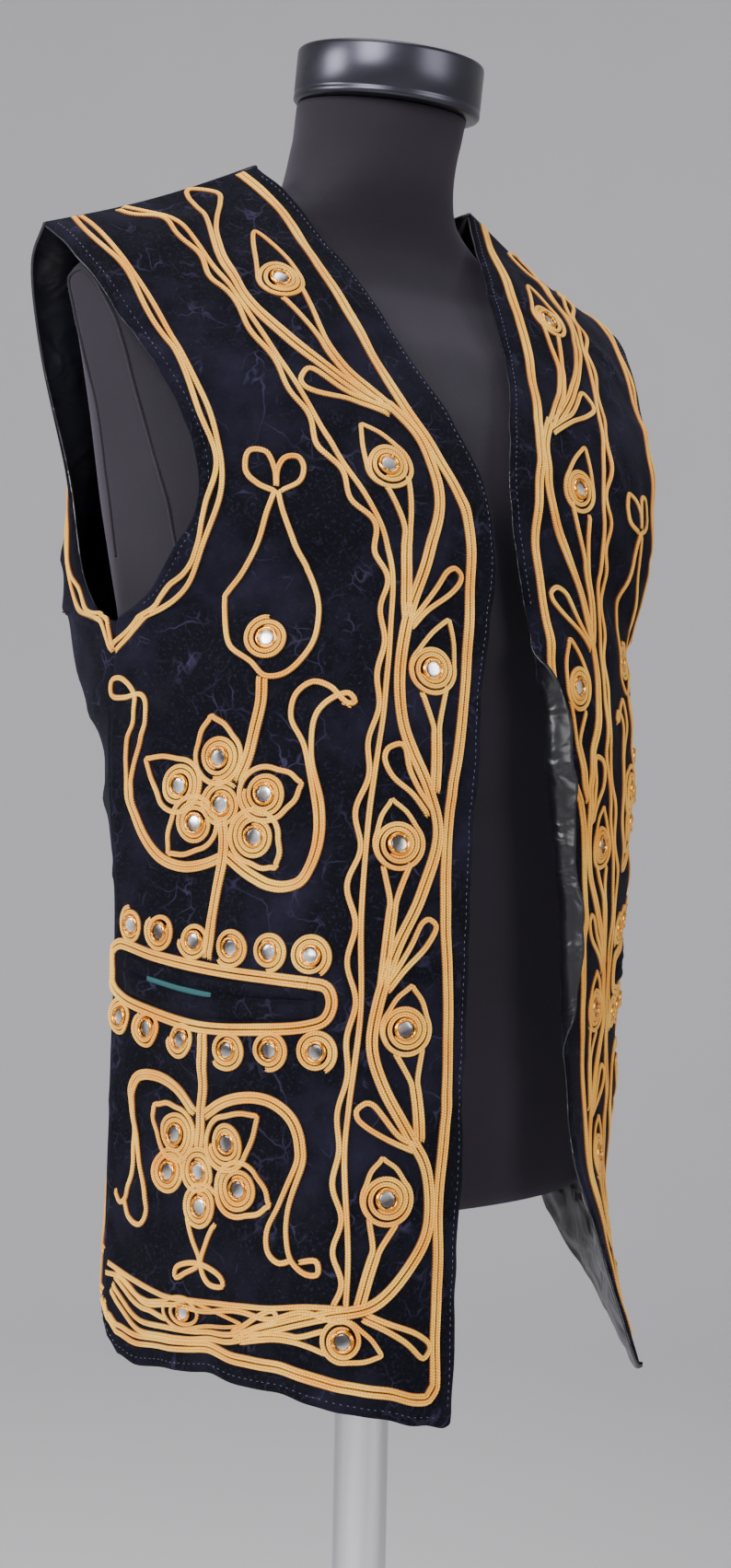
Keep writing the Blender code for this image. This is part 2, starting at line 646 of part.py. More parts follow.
def lathe(name, profile, around, colour, rough, tilt=0.0, at=(0, 0, 0)):
    """Closed turned body from (radius, z) points, first and last on the axis."""
    rings = [(r, z) for r, z in profile]
    verts = []
    faces = []
    starts = []
    for r, z in rings:
        starts.append((len(verts), r))
        if r < 1e-9:
            verts.append((0, 0, z))
        else:
            for k in range(around):
                a = 2 * math.pi * k / around
                verts.append((r * math.cos(a), r * math.sin(a), z))
    for (s0, r0), (s1, r1) in zip(starts, starts[1:]):
        for k in range(around):
            m = (k + 1) % around
            if r0 < 1e-9:
                faces.append((s0, s1 + k, s1 + m))
            elif r1 < 1e-9:
                faces.append((s0 + k, s0 + m, s1))
            else:
                faces.append((s0 + k, s0 + m, s1 + m, s1 + k))
    v = np.array(verts, float)
    c, s = math.cos(tilt), math.sin(tilt)
    y = v[:, 1] * c - v[:, 2] * s
    z = v[:, 1] * s + v[:, 2] * c
    v = np.stack([v[:, 0] + at[0], y + at[1], z + at[2]], axis=1)
    return mesh_object(name, v, faces, colour, rough)


def dress_form():
    rows = np.array(TORSO, float)
    levels = []
    for k in range(len(rows) - 1):
        steps = 2 if rows[k + 1, 0] - rows[k, 0] > 0.045 else 1
        for m in range(steps):
            levels.append(rows[k] + (rows[k + 1] - rows[k]) * m / steps)
    levels.append(rows[-1])
    rings = [torso_ring(*level) for level in levels]
    rings[-1][:, 2] = CAP_SEAT + rings[-1][:, 1] * math.tan(CAP_TILT) - 0.0004
    verts = np.vstack(rings)
    n = TORSO_AROUND
    faces = []
    for k in range(len(rings) - 1):
        for m in range(n):
            q = (m + 1) % n
            a, b = k * n + m, k * n + q
            faces.append((a, b, b + n, a + n))
    faces.append(tuple(range(n))[::-1])
    faces.append(tuple((len(rings) - 1) * n + m for m in range(n)))
    mesh_object("form_torso", verts, faces, (0.03, 0.028, 0.032), 0.85)
    cap = [(0, 0), (CAP_RADIUS - 0.002, 0), (CAP_RADIUS, 0.002), (CAP_RADIUS, CAP_HIGH - 0.003)]
    cap += [(CAP_RADIUS - 0.003, CAP_HIGH), (0, CAP_HIGH + 0.0015)]
    lathe("form_neck_cap", cap, 32, (0.05, 0.05, 0.055), 0.25, CAP_TILT, (0, 0, CAP_SEAT))
    pole = [(0, BASE_HIGH + 0.0183), (POLE_RADIUS, BASE_HIGH + 0.0183), (POLE_RADIUS, 0.8427), (0, 0.8427)]
    lathe("form_pole", pole, 24, (0.75, 0.75, 0.76), 0.12)
    base = [(0, 0), (BASE_RADIUS - 0.001, 0), (BASE_RADIUS, 0.001), (BASE_RADIUS, BASE_HIGH - 0.003)]
    base += [(BASE_RADIUS - 0.003, BASE_HIGH), (0.030, BASE_HIGH), (0.026, BASE_HIGH + 0.018)]
    base += [(0, BASE_HIGH + 0.018)]
    lathe("form_base", base, 40, (0.7, 0.7, 0.71), 0.2)


class Lay:
    """Turns distances on the cloth into panel shares, and metric steps at any place on it."""

    def __init__(self, panel, like=None):
        self.panel = panel
        self.like = like
        s = np.linspace(0, 1, 61)[:, None] * np.ones((1, 121))
        t = np.linspace(0, 1, 121)[None, :] * np.ones((61, 1))
        p = panel.point(s, t)
        self.grid = p
        step = np.linalg.norm(np.diff(p, axis=0), axis=2)
        self.run = np.concatenate([np.zeros((1, 121)), np.cumsum(step, axis=0)])
        up = np.linalg.norm(np.diff(p, axis=1), axis=2)
        self.climb = np.concatenate([np.zeros((61, 1)), np.cumsum(up, axis=1)], axis=1)
        self.edge = self.climb[-1, -1]

    def row_share(self, distance, t, from_front):
        j = int(np.clip(t * 120, 0, 119))
        f = t * 120 - j
        run = self.run[:, j] * (1 - f) + self.run[:, j + 1] * f
        x = run[-1] - distance if from_front else distance
        return float(np.interp(x, run, np.linspace(0, 1, 61)))

    def front_place(self, d, h):
        t = min(h * 0.001 / self.edge, 1.0)
        if self.like is not None and d > VINE_ZONE:
            j = int(round(t * 120))
            ratio = (self.run[-1, j] * 1000 - VINE_ZONE) / (self.like.run[-1, j] * 1000 - VINE_ZONE)
            d = VINE_ZONE + (d - VINE_ZONE) * ratio
        return np.array([self.row_share(d * 0.001, t, True), t])

    def side_place(self, a, t):
        return np.array([self.row_share(a * 0.001, t, False), t])

    def hem_place(self, s, h):
        i = int(np.clip(s * 60, 0, 59))
        f = s * 60 - i
        climb = self.climb[i] * (1 - f) + self.climb[i + 1] * f
        return np.array([s, float(np.interp(h * 0.001, climb, np.linspace(0, 1, 121)))])

    def at(self, st):
        x = np.clip(st[0], 0, 1) * 60
        y = np.clip(st[1], 0, 1) * 120
        i, j = min(int(x), 59), min(int(y), 119)
        f, g = x - i, y - j
        p = self.grid
        low = p[i, j] * (1 - f) + p[i + 1, j] * f
        high = p[i, j + 1] * (1 - f) + p[i + 1, j + 1] * f
        return low * (1 - g) + high * g

    def slopes(self, st):
        e = 0.012
        s, t = np.clip(st, e, 1 - e)
        ps = (self.at((s + e, t)) - self.at((s - e, t))) / (2 * e)
        pt = (self.at((s, t + e)) - self.at((s, t - e))) / (2 * e)
        return ps, pt

    def step(self, st, move):
        """Share step for a 3-D move that lies in the cloth."""
        ps, pt = self.slopes(st)
        m = np.array([[ps @ ps, ps @ pt], [ps @ pt, pt @ pt]])
        return np.linalg.solve(m, np.array([ps @ move, pt @ move]))

    def across(self, st, heading):
        """3-D unit vector in the cloth, square to the heading."""
        ps, pt = self.slopes(st)
        n = unit(np.cross(ps, pt))
        return unit(np.cross(n, unit(heading)))


def flat_curve(points, step):
    p = np.array([(x, y, 0.0) for x, y in points], float)
    length = np.sum(np.linalg.norm(np.diff(p, axis=0), axis=1))
    count = max(int(round(length / step)), 2) + 1
    return smooth_curve(p, count)[:, :2]


def stroke(lay, places, width):
    """Quads of a braid laid along the places (panel shares), square-ended."""
    ps = [lay.at(st) for st in places]
    left_side, right_side = [], []
    for k, st in enumerate(places):
        heading = ps[min(k + 1, len(ps) - 1)] - ps[max(k - 1, 0)]
        side = lay.across(st, heading) * width / 2
        move = lay.step(st, side)
        left_side.append(np.clip(st + move, 0.0, 1.0))
        right_side.append(np.clip(st - move, 0.0, 1.0))
    quads = []
    for k in range(len(places) - 1):
        quads.append([left_side[k], left_side[k + 1], right_side[k + 1], right_side[k]])
    return quads


def disc(lay, st, radius, sides=10):
    ps, pt = lay.slopes(st)
    e1 = unit(ps)
    n = unit(np.cross(ps, pt))
    e2 = np.cross(n, e1)
    ring = []
    for k in range(sides):
        a = 2 * math.pi * (k + 0.5) / sides
        ring.append(st + lay.step(st, radius * (e1 * math.cos(a) + e2 * math.sin(a))))
    return ring


def wedge(lay, base, tip, radius):
    """Pointed patch from a coil out to its petal tip."""
    a, b = lay.at(base), lay.at(tip)
    side = lay.across(base, b - a)
    ends = [base + lay.step(base, side * radius), tip, base - lay.step(base, side * radius)]
    return [ends[0], ends[1], ends[2]]


def leaf(lay, tip, joint, width):
    """Long drop: thin at the joint, round near the tip."""
    a, b = lay.at(joint), lay.at(tip)
    ring_up, ring_down = [], []
    length = np.linalg.norm(b - a)
    shares = list(np.linspace(0.0, 0.80, max(int(round(length / 0.024)), 2) + 1)) + [0.94]
    for share in shares:
        half = np.interp(share, (0.0, 0.45, 0.80, 0.94), (0.22, 0.34, 0.50, 0.36))
        st = joint + (tip - joint) * share
        side = lay.across(st, b - a) * width * half
        move = lay.step(st, side)
        ring_up.append(st + move)
        ring_down.append(st - move)
    return ring_up + [tip] + ring_down[::-1]


def inside(polygons, points):
    """True for each point that lies in any of the polygons."""
    found = np.zeros(len(points), bool)
    x, y = points[:, 0], points[:, 1]
    for poly in polygons:
        hit = np.zeros(len(points), bool)
        for (x0, y0), (x1, y1) in zip(poly, poly[1:] + poly[:1]):
            if y0 == y1:
                continue
            crossing = ((y0 > y) != (y1 > y)) & (x < (x1 - x0) * (y - y0) / (y1 - y0) + x0)
            hit ^= crossing
        found |= hit
    return found


def triangles_in(polygons, verts, edges):
    """Triangulate the plane along the edges and keep what lies in a polygon."""
    out = delaunay_2d_cdt(verts, edges, [], 0, 1e-6, False)
    pts = np.array([tuple(v) for v in out[0]])
    tris = [tuple(f) for f in out[2]]
    middle = np.array([pts[list(f)].mean(axis=0) for f in tris])
    keep = inside(polygons, middle)
    return pts, [f for f, k in zip(tris, keep) if k]


def on_cloth(panel, pts, n):
    """Points on the velvet: the smooth surface, or its flat facet where that stands further out."""
    grid = panel.velvet
    ni, nj = grid.shape[0] - 1, grid.shape[1] - 1
    x = np.clip(pts[:, 0], 0, 1) * ni
    y = np.clip(pts[:, 1], 0, 1) * nj
    i = np.minimum(x.astype(int), ni - 1)
    j = np.minimum(y.astype(int), nj - 1)
    f, g = (x - i)[:, None], (y - j)[:, None]
    a, b = grid[i, j], grid[i + 1, j]
    c, d = grid[i + 1, j + 1], grid[i, j + 1]
    facet = np.where(f >= g, a + (b - a) * f + (c - b) * g, a + (d - a) * g + (c - d) * f)
    p = panel.point(pts[:, 0], pts[:, 1])
    out = np.sum((p - facet) * n, axis=1, keepdims=True)
    return facet + n * np.maximum(out, 0)


def raised(name, panel, polygons, low=CORD_LIFT, high=CORD_HIGH, colour=(0.83, 0.56, 0.21)):
    """One closed body over the union of flat patches, lifted off the cloth along its normals."""
    wide = np.array([0.21, 0.66])
    flat = [[tuple(np.array(q) * wide) for q in poly] for poly in polygons]
    verts, edges = [], []
    for poly in flat:
        n = len(poly)
        edges += [(len(verts) + k, len(verts) + (k + 1) % n) for k in range(n)]
        verts += [Vector(v) for v in poly]
    pts, keep = triangles_in(flat, verts, edges)
    count = {}
    for f in keep:
        for a, b in zip(f, f[1:] + f[:1]):
            key = (min(a, b), max(a, b))
            count[key] = count.get(key, 0) + 1
    rim = [e for e, c in count.items() if c == 1]
    used = sorted({v for e in rim for v in e})
    renumber = {v: k for k, v in enumerate(used)}
    rim_edges = [(renumber[a], renumber[b]) for a, b in rim]
    pts, tris = triangles_in(flat, [Vector(pts[v]) for v in used], rim_edges)
    pts = pts / wide
    n = base_normal(panel, pts[:, 0], pts[:, 1], panel.point)
    p = on_cloth(panel, pts, n)
    top = p + n * (low + high)
    bottom = p + n * low
    off = len(pts)
    solid = [tuple(f) for f in tris] + [tuple(v + off for v in f[::-1]) for f in tris]
    edge = {}
    for f in tris:
        for a, b in zip(f, f[1:] + f[:1]):
            edge[(a, b)] = edge.get((a, b), 0) + 1
    for a, b in list(edge):
        if (b, a) not in edge:
            solid += [(b, a, a + off), (b, a + off, b + off)]
    used = sorted({v for f in solid for v in f})
    renumber = {v: k for k, v in enumerate(used)}
    both = np.vstack([top, bottom])
    faces = [tuple(renumber[v] for v in f) for f in solid]
    return mesh_object(name, both[used], faces, colour, 0.6)


def laid_work(lay, label):
    panel = lay.panel

    def run_of(points, width, step=18):
        curve = flat_curve(points, step)
        return stroke(lay, [lay.front_place(d, h) for d, h in curve], width)

    low = [lay.hem_place(s, HEM_BORDER_UP) for s in np.linspace(0.004, lay.front_place(10, 13)[0], 12)]
    down = [lay.front_place(d, h) for d, h in flat_curve(BORDER, 20)]
    raised("border_" + label, panel, stroke(lay, down, BAND) + stroke(lay, low, BAND))
    low = [lay.front_place(d, h) for d, h in flat_curve(HEM_LINE, 18)]
    down = [lay.front_place(d, h) for d, h in flat_curve(INNER_LINE, 20)]
    raised("inner_line_" + label, panel, stroke(lay, down, BRAID) + stroke(lay, low, BRAID))
    arm = [lay.side_place(a, t) for a, t in smooth_pairs(ARM_LINE, 24)]
    raised("armhole_line_" + label, panel, stroke(lay, arm, BRAID))

    work = run_of(VINE, BRAID * 1.4)
    for d, h, td, th, jd, jh in BUDS:
        c = lay.front_place(d, h)
        size = COIL if h > 40 else HEM_COIL
        work.append(disc(lay, c, size))
        work.append(wedge(lay, c, lay.front_place(td, th), size * 0.85))
        work += run_of([(d, h), ((d + jd) / 2, (h + jh) / 2), (jd, jh)], BRAID * 1.2, 22)
    for td, th, jd, jh in LEAVES:
        work.append(leaf(lay, lay.front_place(td, th), lay.front_place(jd, jh), 0.010))
    raised("vine_" + label, panel, work)

    work = run_of(HEART_LOOPS, BRAID, 8) + run_of(HEART_DROP, BRAID, 12)
    work.append(disc(lay, lay.front_place(*HEART_ROSE), COIL))
    work += run_of(HEART_STEM, BRAID * 1.5)
    work += flower(lay, FLOWER_UPPER) + run_of(UPPER_SIDE_TENDRIL, BRAID, 12)
    work += run_of(UPPER_FRONT_TENDRIL, BRAID, 12) + run_of(UPPER_FRONT_CURL, BRAID, 12)
    work += run_of(UPPER_STEM, BRAID * 1.5)
    raised("flower_upper_" + label, panel, work)

    ring = POCKET_TOP + [(209, 224), (209, 210)] + POCKET_LOW[::-1] + [(70, 192), (69, 203)]
    ring = ring + POCKET_TOP[:1]
    work = run_of(ring, BAND * 0.8, 13)
    for row, line, sign in ((POCKET_ROW_UP, POCKET_TOP, 1), (POCKET_ROW_DOWN, POCKET_LOW, -1)):
        for d in row:
            work.append(disc(lay, beside_frame(lay, d, line, sign), ROW_COIL, 8))
    raised("pocket_braid_" + label, panel, work)

    work = flower(lay, FLOWER_LOWER) + run_of(LOWER_SIDE_TENDRIL, BRAID, 12)
    work += run_of(LOWER_FRONT_TENDRIL, BRAID, 12) + run_of(LOWER_STEM, BRAID * 1.5)
    work += run_of(LOWER_FEET, BRAID, 10)
    raised("flower_lower_" + label, panel, work)

    velvet = (0.012, 0.012, 0.035)
    lips = (("welt_upper_", 0.60, 0.80), ("welt_lower_", 0.20, 0.52))
    for part_name, a, b in lips:
        low_edge, high_edge = [], []
        for x in np.linspace(80, 200, 9):
            y0 = np.interp(x, [q[0] for q in POCKET_LOW], [q[1] for q in POCKET_LOW])
            y1 = np.interp(x, [q[0] for q in POCKET_TOP], [q[1] for q in POCKET_TOP])
            low_edge.append(lay.front_place(x, y0 + (y1 - y0) * a))
            high_edge.append(lay.front_place(x, y0 + (y1 - y0) * b))
        quads = []
        for k in range(8):
            quads.append([low_edge[k], low_edge[k + 1], high_edge[k + 1], high_edge[k]])
        raised(part_name + label, panel, quads, CORD_LIFT, WELT_HIGH, velvet)


def beside_frame(lay, d, line, sign):
    """Centre of a pocket coil that touches the frame line at the given distance."""
    ds = [q[0] for q in line]
    hs = [q[1] for q in line]
    at = lay.front_place(d, np.interp(d, ds, hs))
    other = lay.front_place(d - 6, np.interp(d - 6, ds, hs))
    up = lay.across(at, lay.at(other) - lay.at(at))
    up = up if up[2] * sign > 0 else -up
    return at + lay.step(at, up * (ROW_COIL + 0.0024))


def smooth_pairs(points, count):
    p = np.array([(a, t * 700, 0.0) for a, t in points], float)
    q = smooth_curve(p, count)
    return [(a, t / 700) for a, t, _ in q]


def flower(lay, rows):
    work = []
    for d, h, td, th in rows:
        c = lay.front_place(d, h)
        work.append(disc(lay, c, COIL * 1.12))
        if td:
            work.append(wedge(lay, c, lay.front_place(td, th), COIL))
    return work


def back_work(panel):
    lay = Lay(panel)
    low = [lay.hem_place(s, HEM_BORDER_UP) for s in np.linspace(0.003, 0.997, 22)]
    raised("back_border", panel, stroke(lay, low, BAND))
    low = [lay.hem_place(s, HEM_LINE_UP) for s in np.linspace(0.003, 0.997, 22)]
    raised("back_inner_line", panel, stroke(lay, low, BRAID))
    arm = [lay.side_place(a, t) for a, t in smooth_pairs(ARM_LINE_BACK, 26)]
    raised("armhole_line_back_right", panel, stroke(lay, arm, BRAID))
    arm = [np.array([1 - s, t]) for s, t in arm]
    raised("armhole_line_back_left", panel, stroke(lay, arm, BRAID))


right = Front(-1, SEAM_RIGHT, EDGE_RIGHT, FRONT_SHAPE, FOLDS_RIGHT)
left = Front(1, SEAM_LEFT, EDGE_LEFT, FRONT_SHAPE_LEFT, FOLDS_LEFT)
back = Back(FOLDS_BACK)

velvet_piece("front_right", right, FRONT_COLUMNS, FRONT_ROWS)
velvet_piece("front_left", left, FRONT_COLUMNS, FRONT_ROWS)
velvet_piece("back", back, BACK_COLUMNS, BACK_ROWS)
lining_piece("lining_front_right", right, 7, 13)
lining_piece("lining_front_left", left, 7, 13)
lining_piece("lining_back", back, 10, 10)
right_lay = Lay(right)
laid_work(right_lay, "right")
laid_work(Lay(left, right_lay), "left")
back_work(back)
dress_form()
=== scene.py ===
import math

import bpy
import numpy as np
from mathutils import Matrix, Vector


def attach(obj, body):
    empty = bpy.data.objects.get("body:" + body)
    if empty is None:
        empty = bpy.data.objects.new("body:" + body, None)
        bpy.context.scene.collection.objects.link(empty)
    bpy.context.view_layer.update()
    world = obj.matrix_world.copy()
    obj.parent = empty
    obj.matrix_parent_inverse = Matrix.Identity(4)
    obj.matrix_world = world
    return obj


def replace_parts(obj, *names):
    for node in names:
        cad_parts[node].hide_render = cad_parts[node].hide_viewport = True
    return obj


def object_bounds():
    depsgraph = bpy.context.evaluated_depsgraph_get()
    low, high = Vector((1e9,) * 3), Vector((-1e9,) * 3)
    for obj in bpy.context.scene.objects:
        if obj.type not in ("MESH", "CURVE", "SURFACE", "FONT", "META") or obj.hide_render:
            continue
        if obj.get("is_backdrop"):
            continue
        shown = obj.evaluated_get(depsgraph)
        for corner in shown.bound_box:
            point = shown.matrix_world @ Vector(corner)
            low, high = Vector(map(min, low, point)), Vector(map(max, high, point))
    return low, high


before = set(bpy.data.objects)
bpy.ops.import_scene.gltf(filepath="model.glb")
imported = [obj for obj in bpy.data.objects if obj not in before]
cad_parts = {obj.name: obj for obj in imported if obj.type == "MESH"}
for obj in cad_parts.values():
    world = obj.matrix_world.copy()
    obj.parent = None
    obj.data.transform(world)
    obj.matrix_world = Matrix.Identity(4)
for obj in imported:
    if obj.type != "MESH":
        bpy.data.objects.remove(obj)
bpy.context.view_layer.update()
print("frame loaded:", len(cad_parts), "nodes")

fullTurn = 2 * math.pi
mm = 0.001  # metres


# small helpers

def linear(code):  # sRGB hex to linear RGBA
    c = np.array([int(code[i:i + 2], 16) for i in (1, 3, 5)]) / 255
    c = np.where(c <= 0.04045, c / 12.92, ((c + 0.055) / 1.055) ** 2.4)
    return (float(c[0]), float(c[1]), float(c[2]), 1.0)


def feed(tree, node, links):  # joins each input to its source: a socket, or a node's first output
    for key, source in links.items():
        socket = source.outputs[0] if isinstance(source, bpy.types.Node) else source
        tree.links.new(socket, node.inputs[key])


def addNode(tree, kind, settings, links=None):  # one node with its settings and links
    node = tree.nodes.new("ShaderNode" + kind)
    for key, value in settings.items():
        if isinstance(key, int) or key in node.inputs:
            node.inputs[key].default_value = value
        else:
            setattr(node, key, value)
    feed(tree, node, links or {})
    return node


def newMaterial(name, settings):  # its Principled shader has these constants; the last value is the Object place
    material = bpy.data.materials.new(name)
    material.use_nodes = True
    tree = material.node_tree
    shader = tree.nodes["Principled BSDF"]
    for key, value in settings.items():
        shader.inputs[key].default_value = value
    return material, tree, shader, addNode(tree, "TexCoord", {}).outputs["Object"]


def unit(v):  # vectors brought to length 1
    return v / np.maximum(np.linalg.norm(v, axis=-1, keepdims=True), 1e-12)


def ease(x):  # 0 to 1 with soft ends
    x = np.clip(x, 0, 1)
    return x * x * (3 - 2 * x)


def grid(s, t):  # every pair of the two rows of numbers
    return np.meshgrid(s, t, indexing="ij")


def runAlong(path):  # length of a path up to each of its points
    return np.concatenate([[0], np.cumsum(np.linalg.norm(np.diff(path, axis=0), axis=1))])


def flatSide(path):  # right-hand side of a flat path at each of its points
    along = unit(np.gradient(path, axis=0))
    return np.stack([along[:, 1], -along[:, 0]], axis=1)


def turnBy(angle, x, y):  # x cos a - y sin a, x sin a + y cos a
    c, s = math.cos(angle), math.sin(angle)
    return np.stack([x * c - y * s, x * s + y * c], axis=1)


def addPiece(name, verts, faces, material, slot=None, uv=None):
    mesh = bpy.data.meshes.new(name)
    mesh.from_pydata(np.asarray(verts).reshape(-1, 3).tolist(), [], faces)
    if uv is not None:
        order = np.zeros(len(mesh.loops), int)
        mesh.loops.foreach_get("vertex_index", order)
        mesh.uv_layers.new(name="along").data.foreach_set("uv", np.asarray(uv)[order].ravel())
    mesh.materials.append(material)
    mesh.shade_smooth()
    piece = bpy.data.objects.new(name, mesh)
    bpy.context.scene.collection.objects.link(piece)
    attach(piece, "root")
    return piece


def gridFaces(ni, nj, start=0, flip=False, wrap=False):  # quads of an ni by nj grid of points
    i, j = grid(np.arange(ni if wrap else ni - 1), np.arange(nj - 1))
    k = (i + 1) % ni
    quads = np.stack([i * nj + j, k * nj + j, k * nj + j + 1, i * nj + j + 1], axis=-1).reshape(-1, 4) + start
    return (quads[:, ::-1] if flip else quads).tolist()


def circle(count):  # that many even angles, once round
    return np.arange(count) * fullTurn / count


def lids(around, n):  # first and last ring of a wrapped grid, as two faces
    return [[k * n for k in range(around)][::-1], [k * n + n - 1 for k in range(around)]]


def tubeFaces(count, k, start=0, flip=False):  # skin and two ends of a tube of count rings of k points
    i, j = grid(np.arange(count - 1), np.arange(k))
    a, b = i * k + j, i * k + (j + 1) % k
    quads = np.stack([a, b, b + k, a + k] if flip else [a, a + k, b + k, b], axis=-1).reshape(-1, 4) + start
    ends = [list(range(start, start + k)), list(range(start + (count - 1) * k, start + count * k))]
    ends[0 if flip else 1].reverse()
    return quads.tolist() + ends


def turned(profile, around, tilt, foot):
    # (radius, height) points carried round Z: x = r cos a, y = r sin a, z = height; then tilted about X and raised
    p = np.array(profile, float)
    a = circle(around)
    x = np.outer(np.cos(a), p[:, 0])
    y = np.outer(np.sin(a), p[:, 0])
    z = np.ones((around, 1)) * p[:, 1]
    c, s = math.cos(tilt), math.sin(tilt)
    verts = np.stack([x, y * c - z * s, y * s + z * c + foot], axis=-1).reshape(-1, 3)
    return verts, gridFaces(around, len(p), wrap=True) + lids(around, len(p))


def throughPoints(points, count, fine=24):
    # centripetal curve through the points (Catmull-Rom) in fine steps, then resampled evenly by length
    p = np.array(points, float)
    p = np.vstack([2 * p[0] - p[1], p, 2 * p[-1] - p[-2]])
    out = []
    for k in range(1, len(p) - 2):
        a, b, c, d = p[k - 1], p[k], p[k + 1], p[k + 2]
        t1 = max(np.linalg.norm(b - a), 1e-9) ** 0.5
        t2 = t1 + max(np.linalg.norm(c - b), 1e-9) ** 0.5
        t3 = t2 + max(np.linalg.norm(d - c), 1e-9) ** 0.5
        t = np.linspace(t1, t2, fine, endpoint=False)[:, None]
        a1 = (t1 - t) / t1 * a + t / t1 * b
        a2 = (t2 - t) / (t2 - t1) * b + (t - t1) / (t2 - t1) * c
        a3 = (t3 - t) / (t3 - t2) * c + (t - t2) / (t3 - t2) * d
        b1 = (t2 - t) / t2 * a1 + t / t2 * a2
        b2 = (t3 - t) / (t3 - t1) * a2 + (t - t1) / (t3 - t1) * a3
        out.append((t2 - t) / (t2 - t1) * b1 + (t - t1) / (t2 - t1) * b2)
    out.append(p[-2][None, :])
    return evenly(np.vstack(out), count)


def evenly(dense, count):  # that many points at equal lengths along a dense path
    run = runAlong(dense)
    at = np.linspace(0, run[-1], count)
    return np.stack([np.interp(at, run, dense[:, k]) for k in range(dense.shape[1])], axis=1)


# the vest's panels: the same surfaces as the CAD nodes

vest = {
    "underarm": 0.62,  # share of height where side seam meets armhole
    "velvetThick": 0.0016,
    "liningThick": 0.0010,
    "high": 0.64,  # run of the cloth up a panel, in metres, for what fades near its edges
    "marks": (60, 120),  # steps of the measured grid, across and up
    "velvetEdge": (0.0026, 0.0013),  # radius of the velvet's rounded edge and the most that its face drops there
    "velvetLeast": 0.0003,  # thickness left at the rounded edge
    "satinGap": 0.0018,  # satin under the velvet's face at the edges
    "pucker": 0.012,  # height of the satin's puckers as a share of their length
    "calmEdge": 0.06,  # folds fade over this share of the panel towards its edges
    "crushHeight": 0.0042,
    "edgeWaver": 0.0003,  # how far the hand-turned edges wander
    "waverReach": 0.012,  # and how far into the cloth
    "hemZone": (0.012, 0.034),  # the hem's unevenness is whole below the first height and gone above the second
    "cornerRadius": 0.007,
    "foldRadius": 0.0030,  # of the left margin where it is turned out
    "foldStart": 0.008,
}

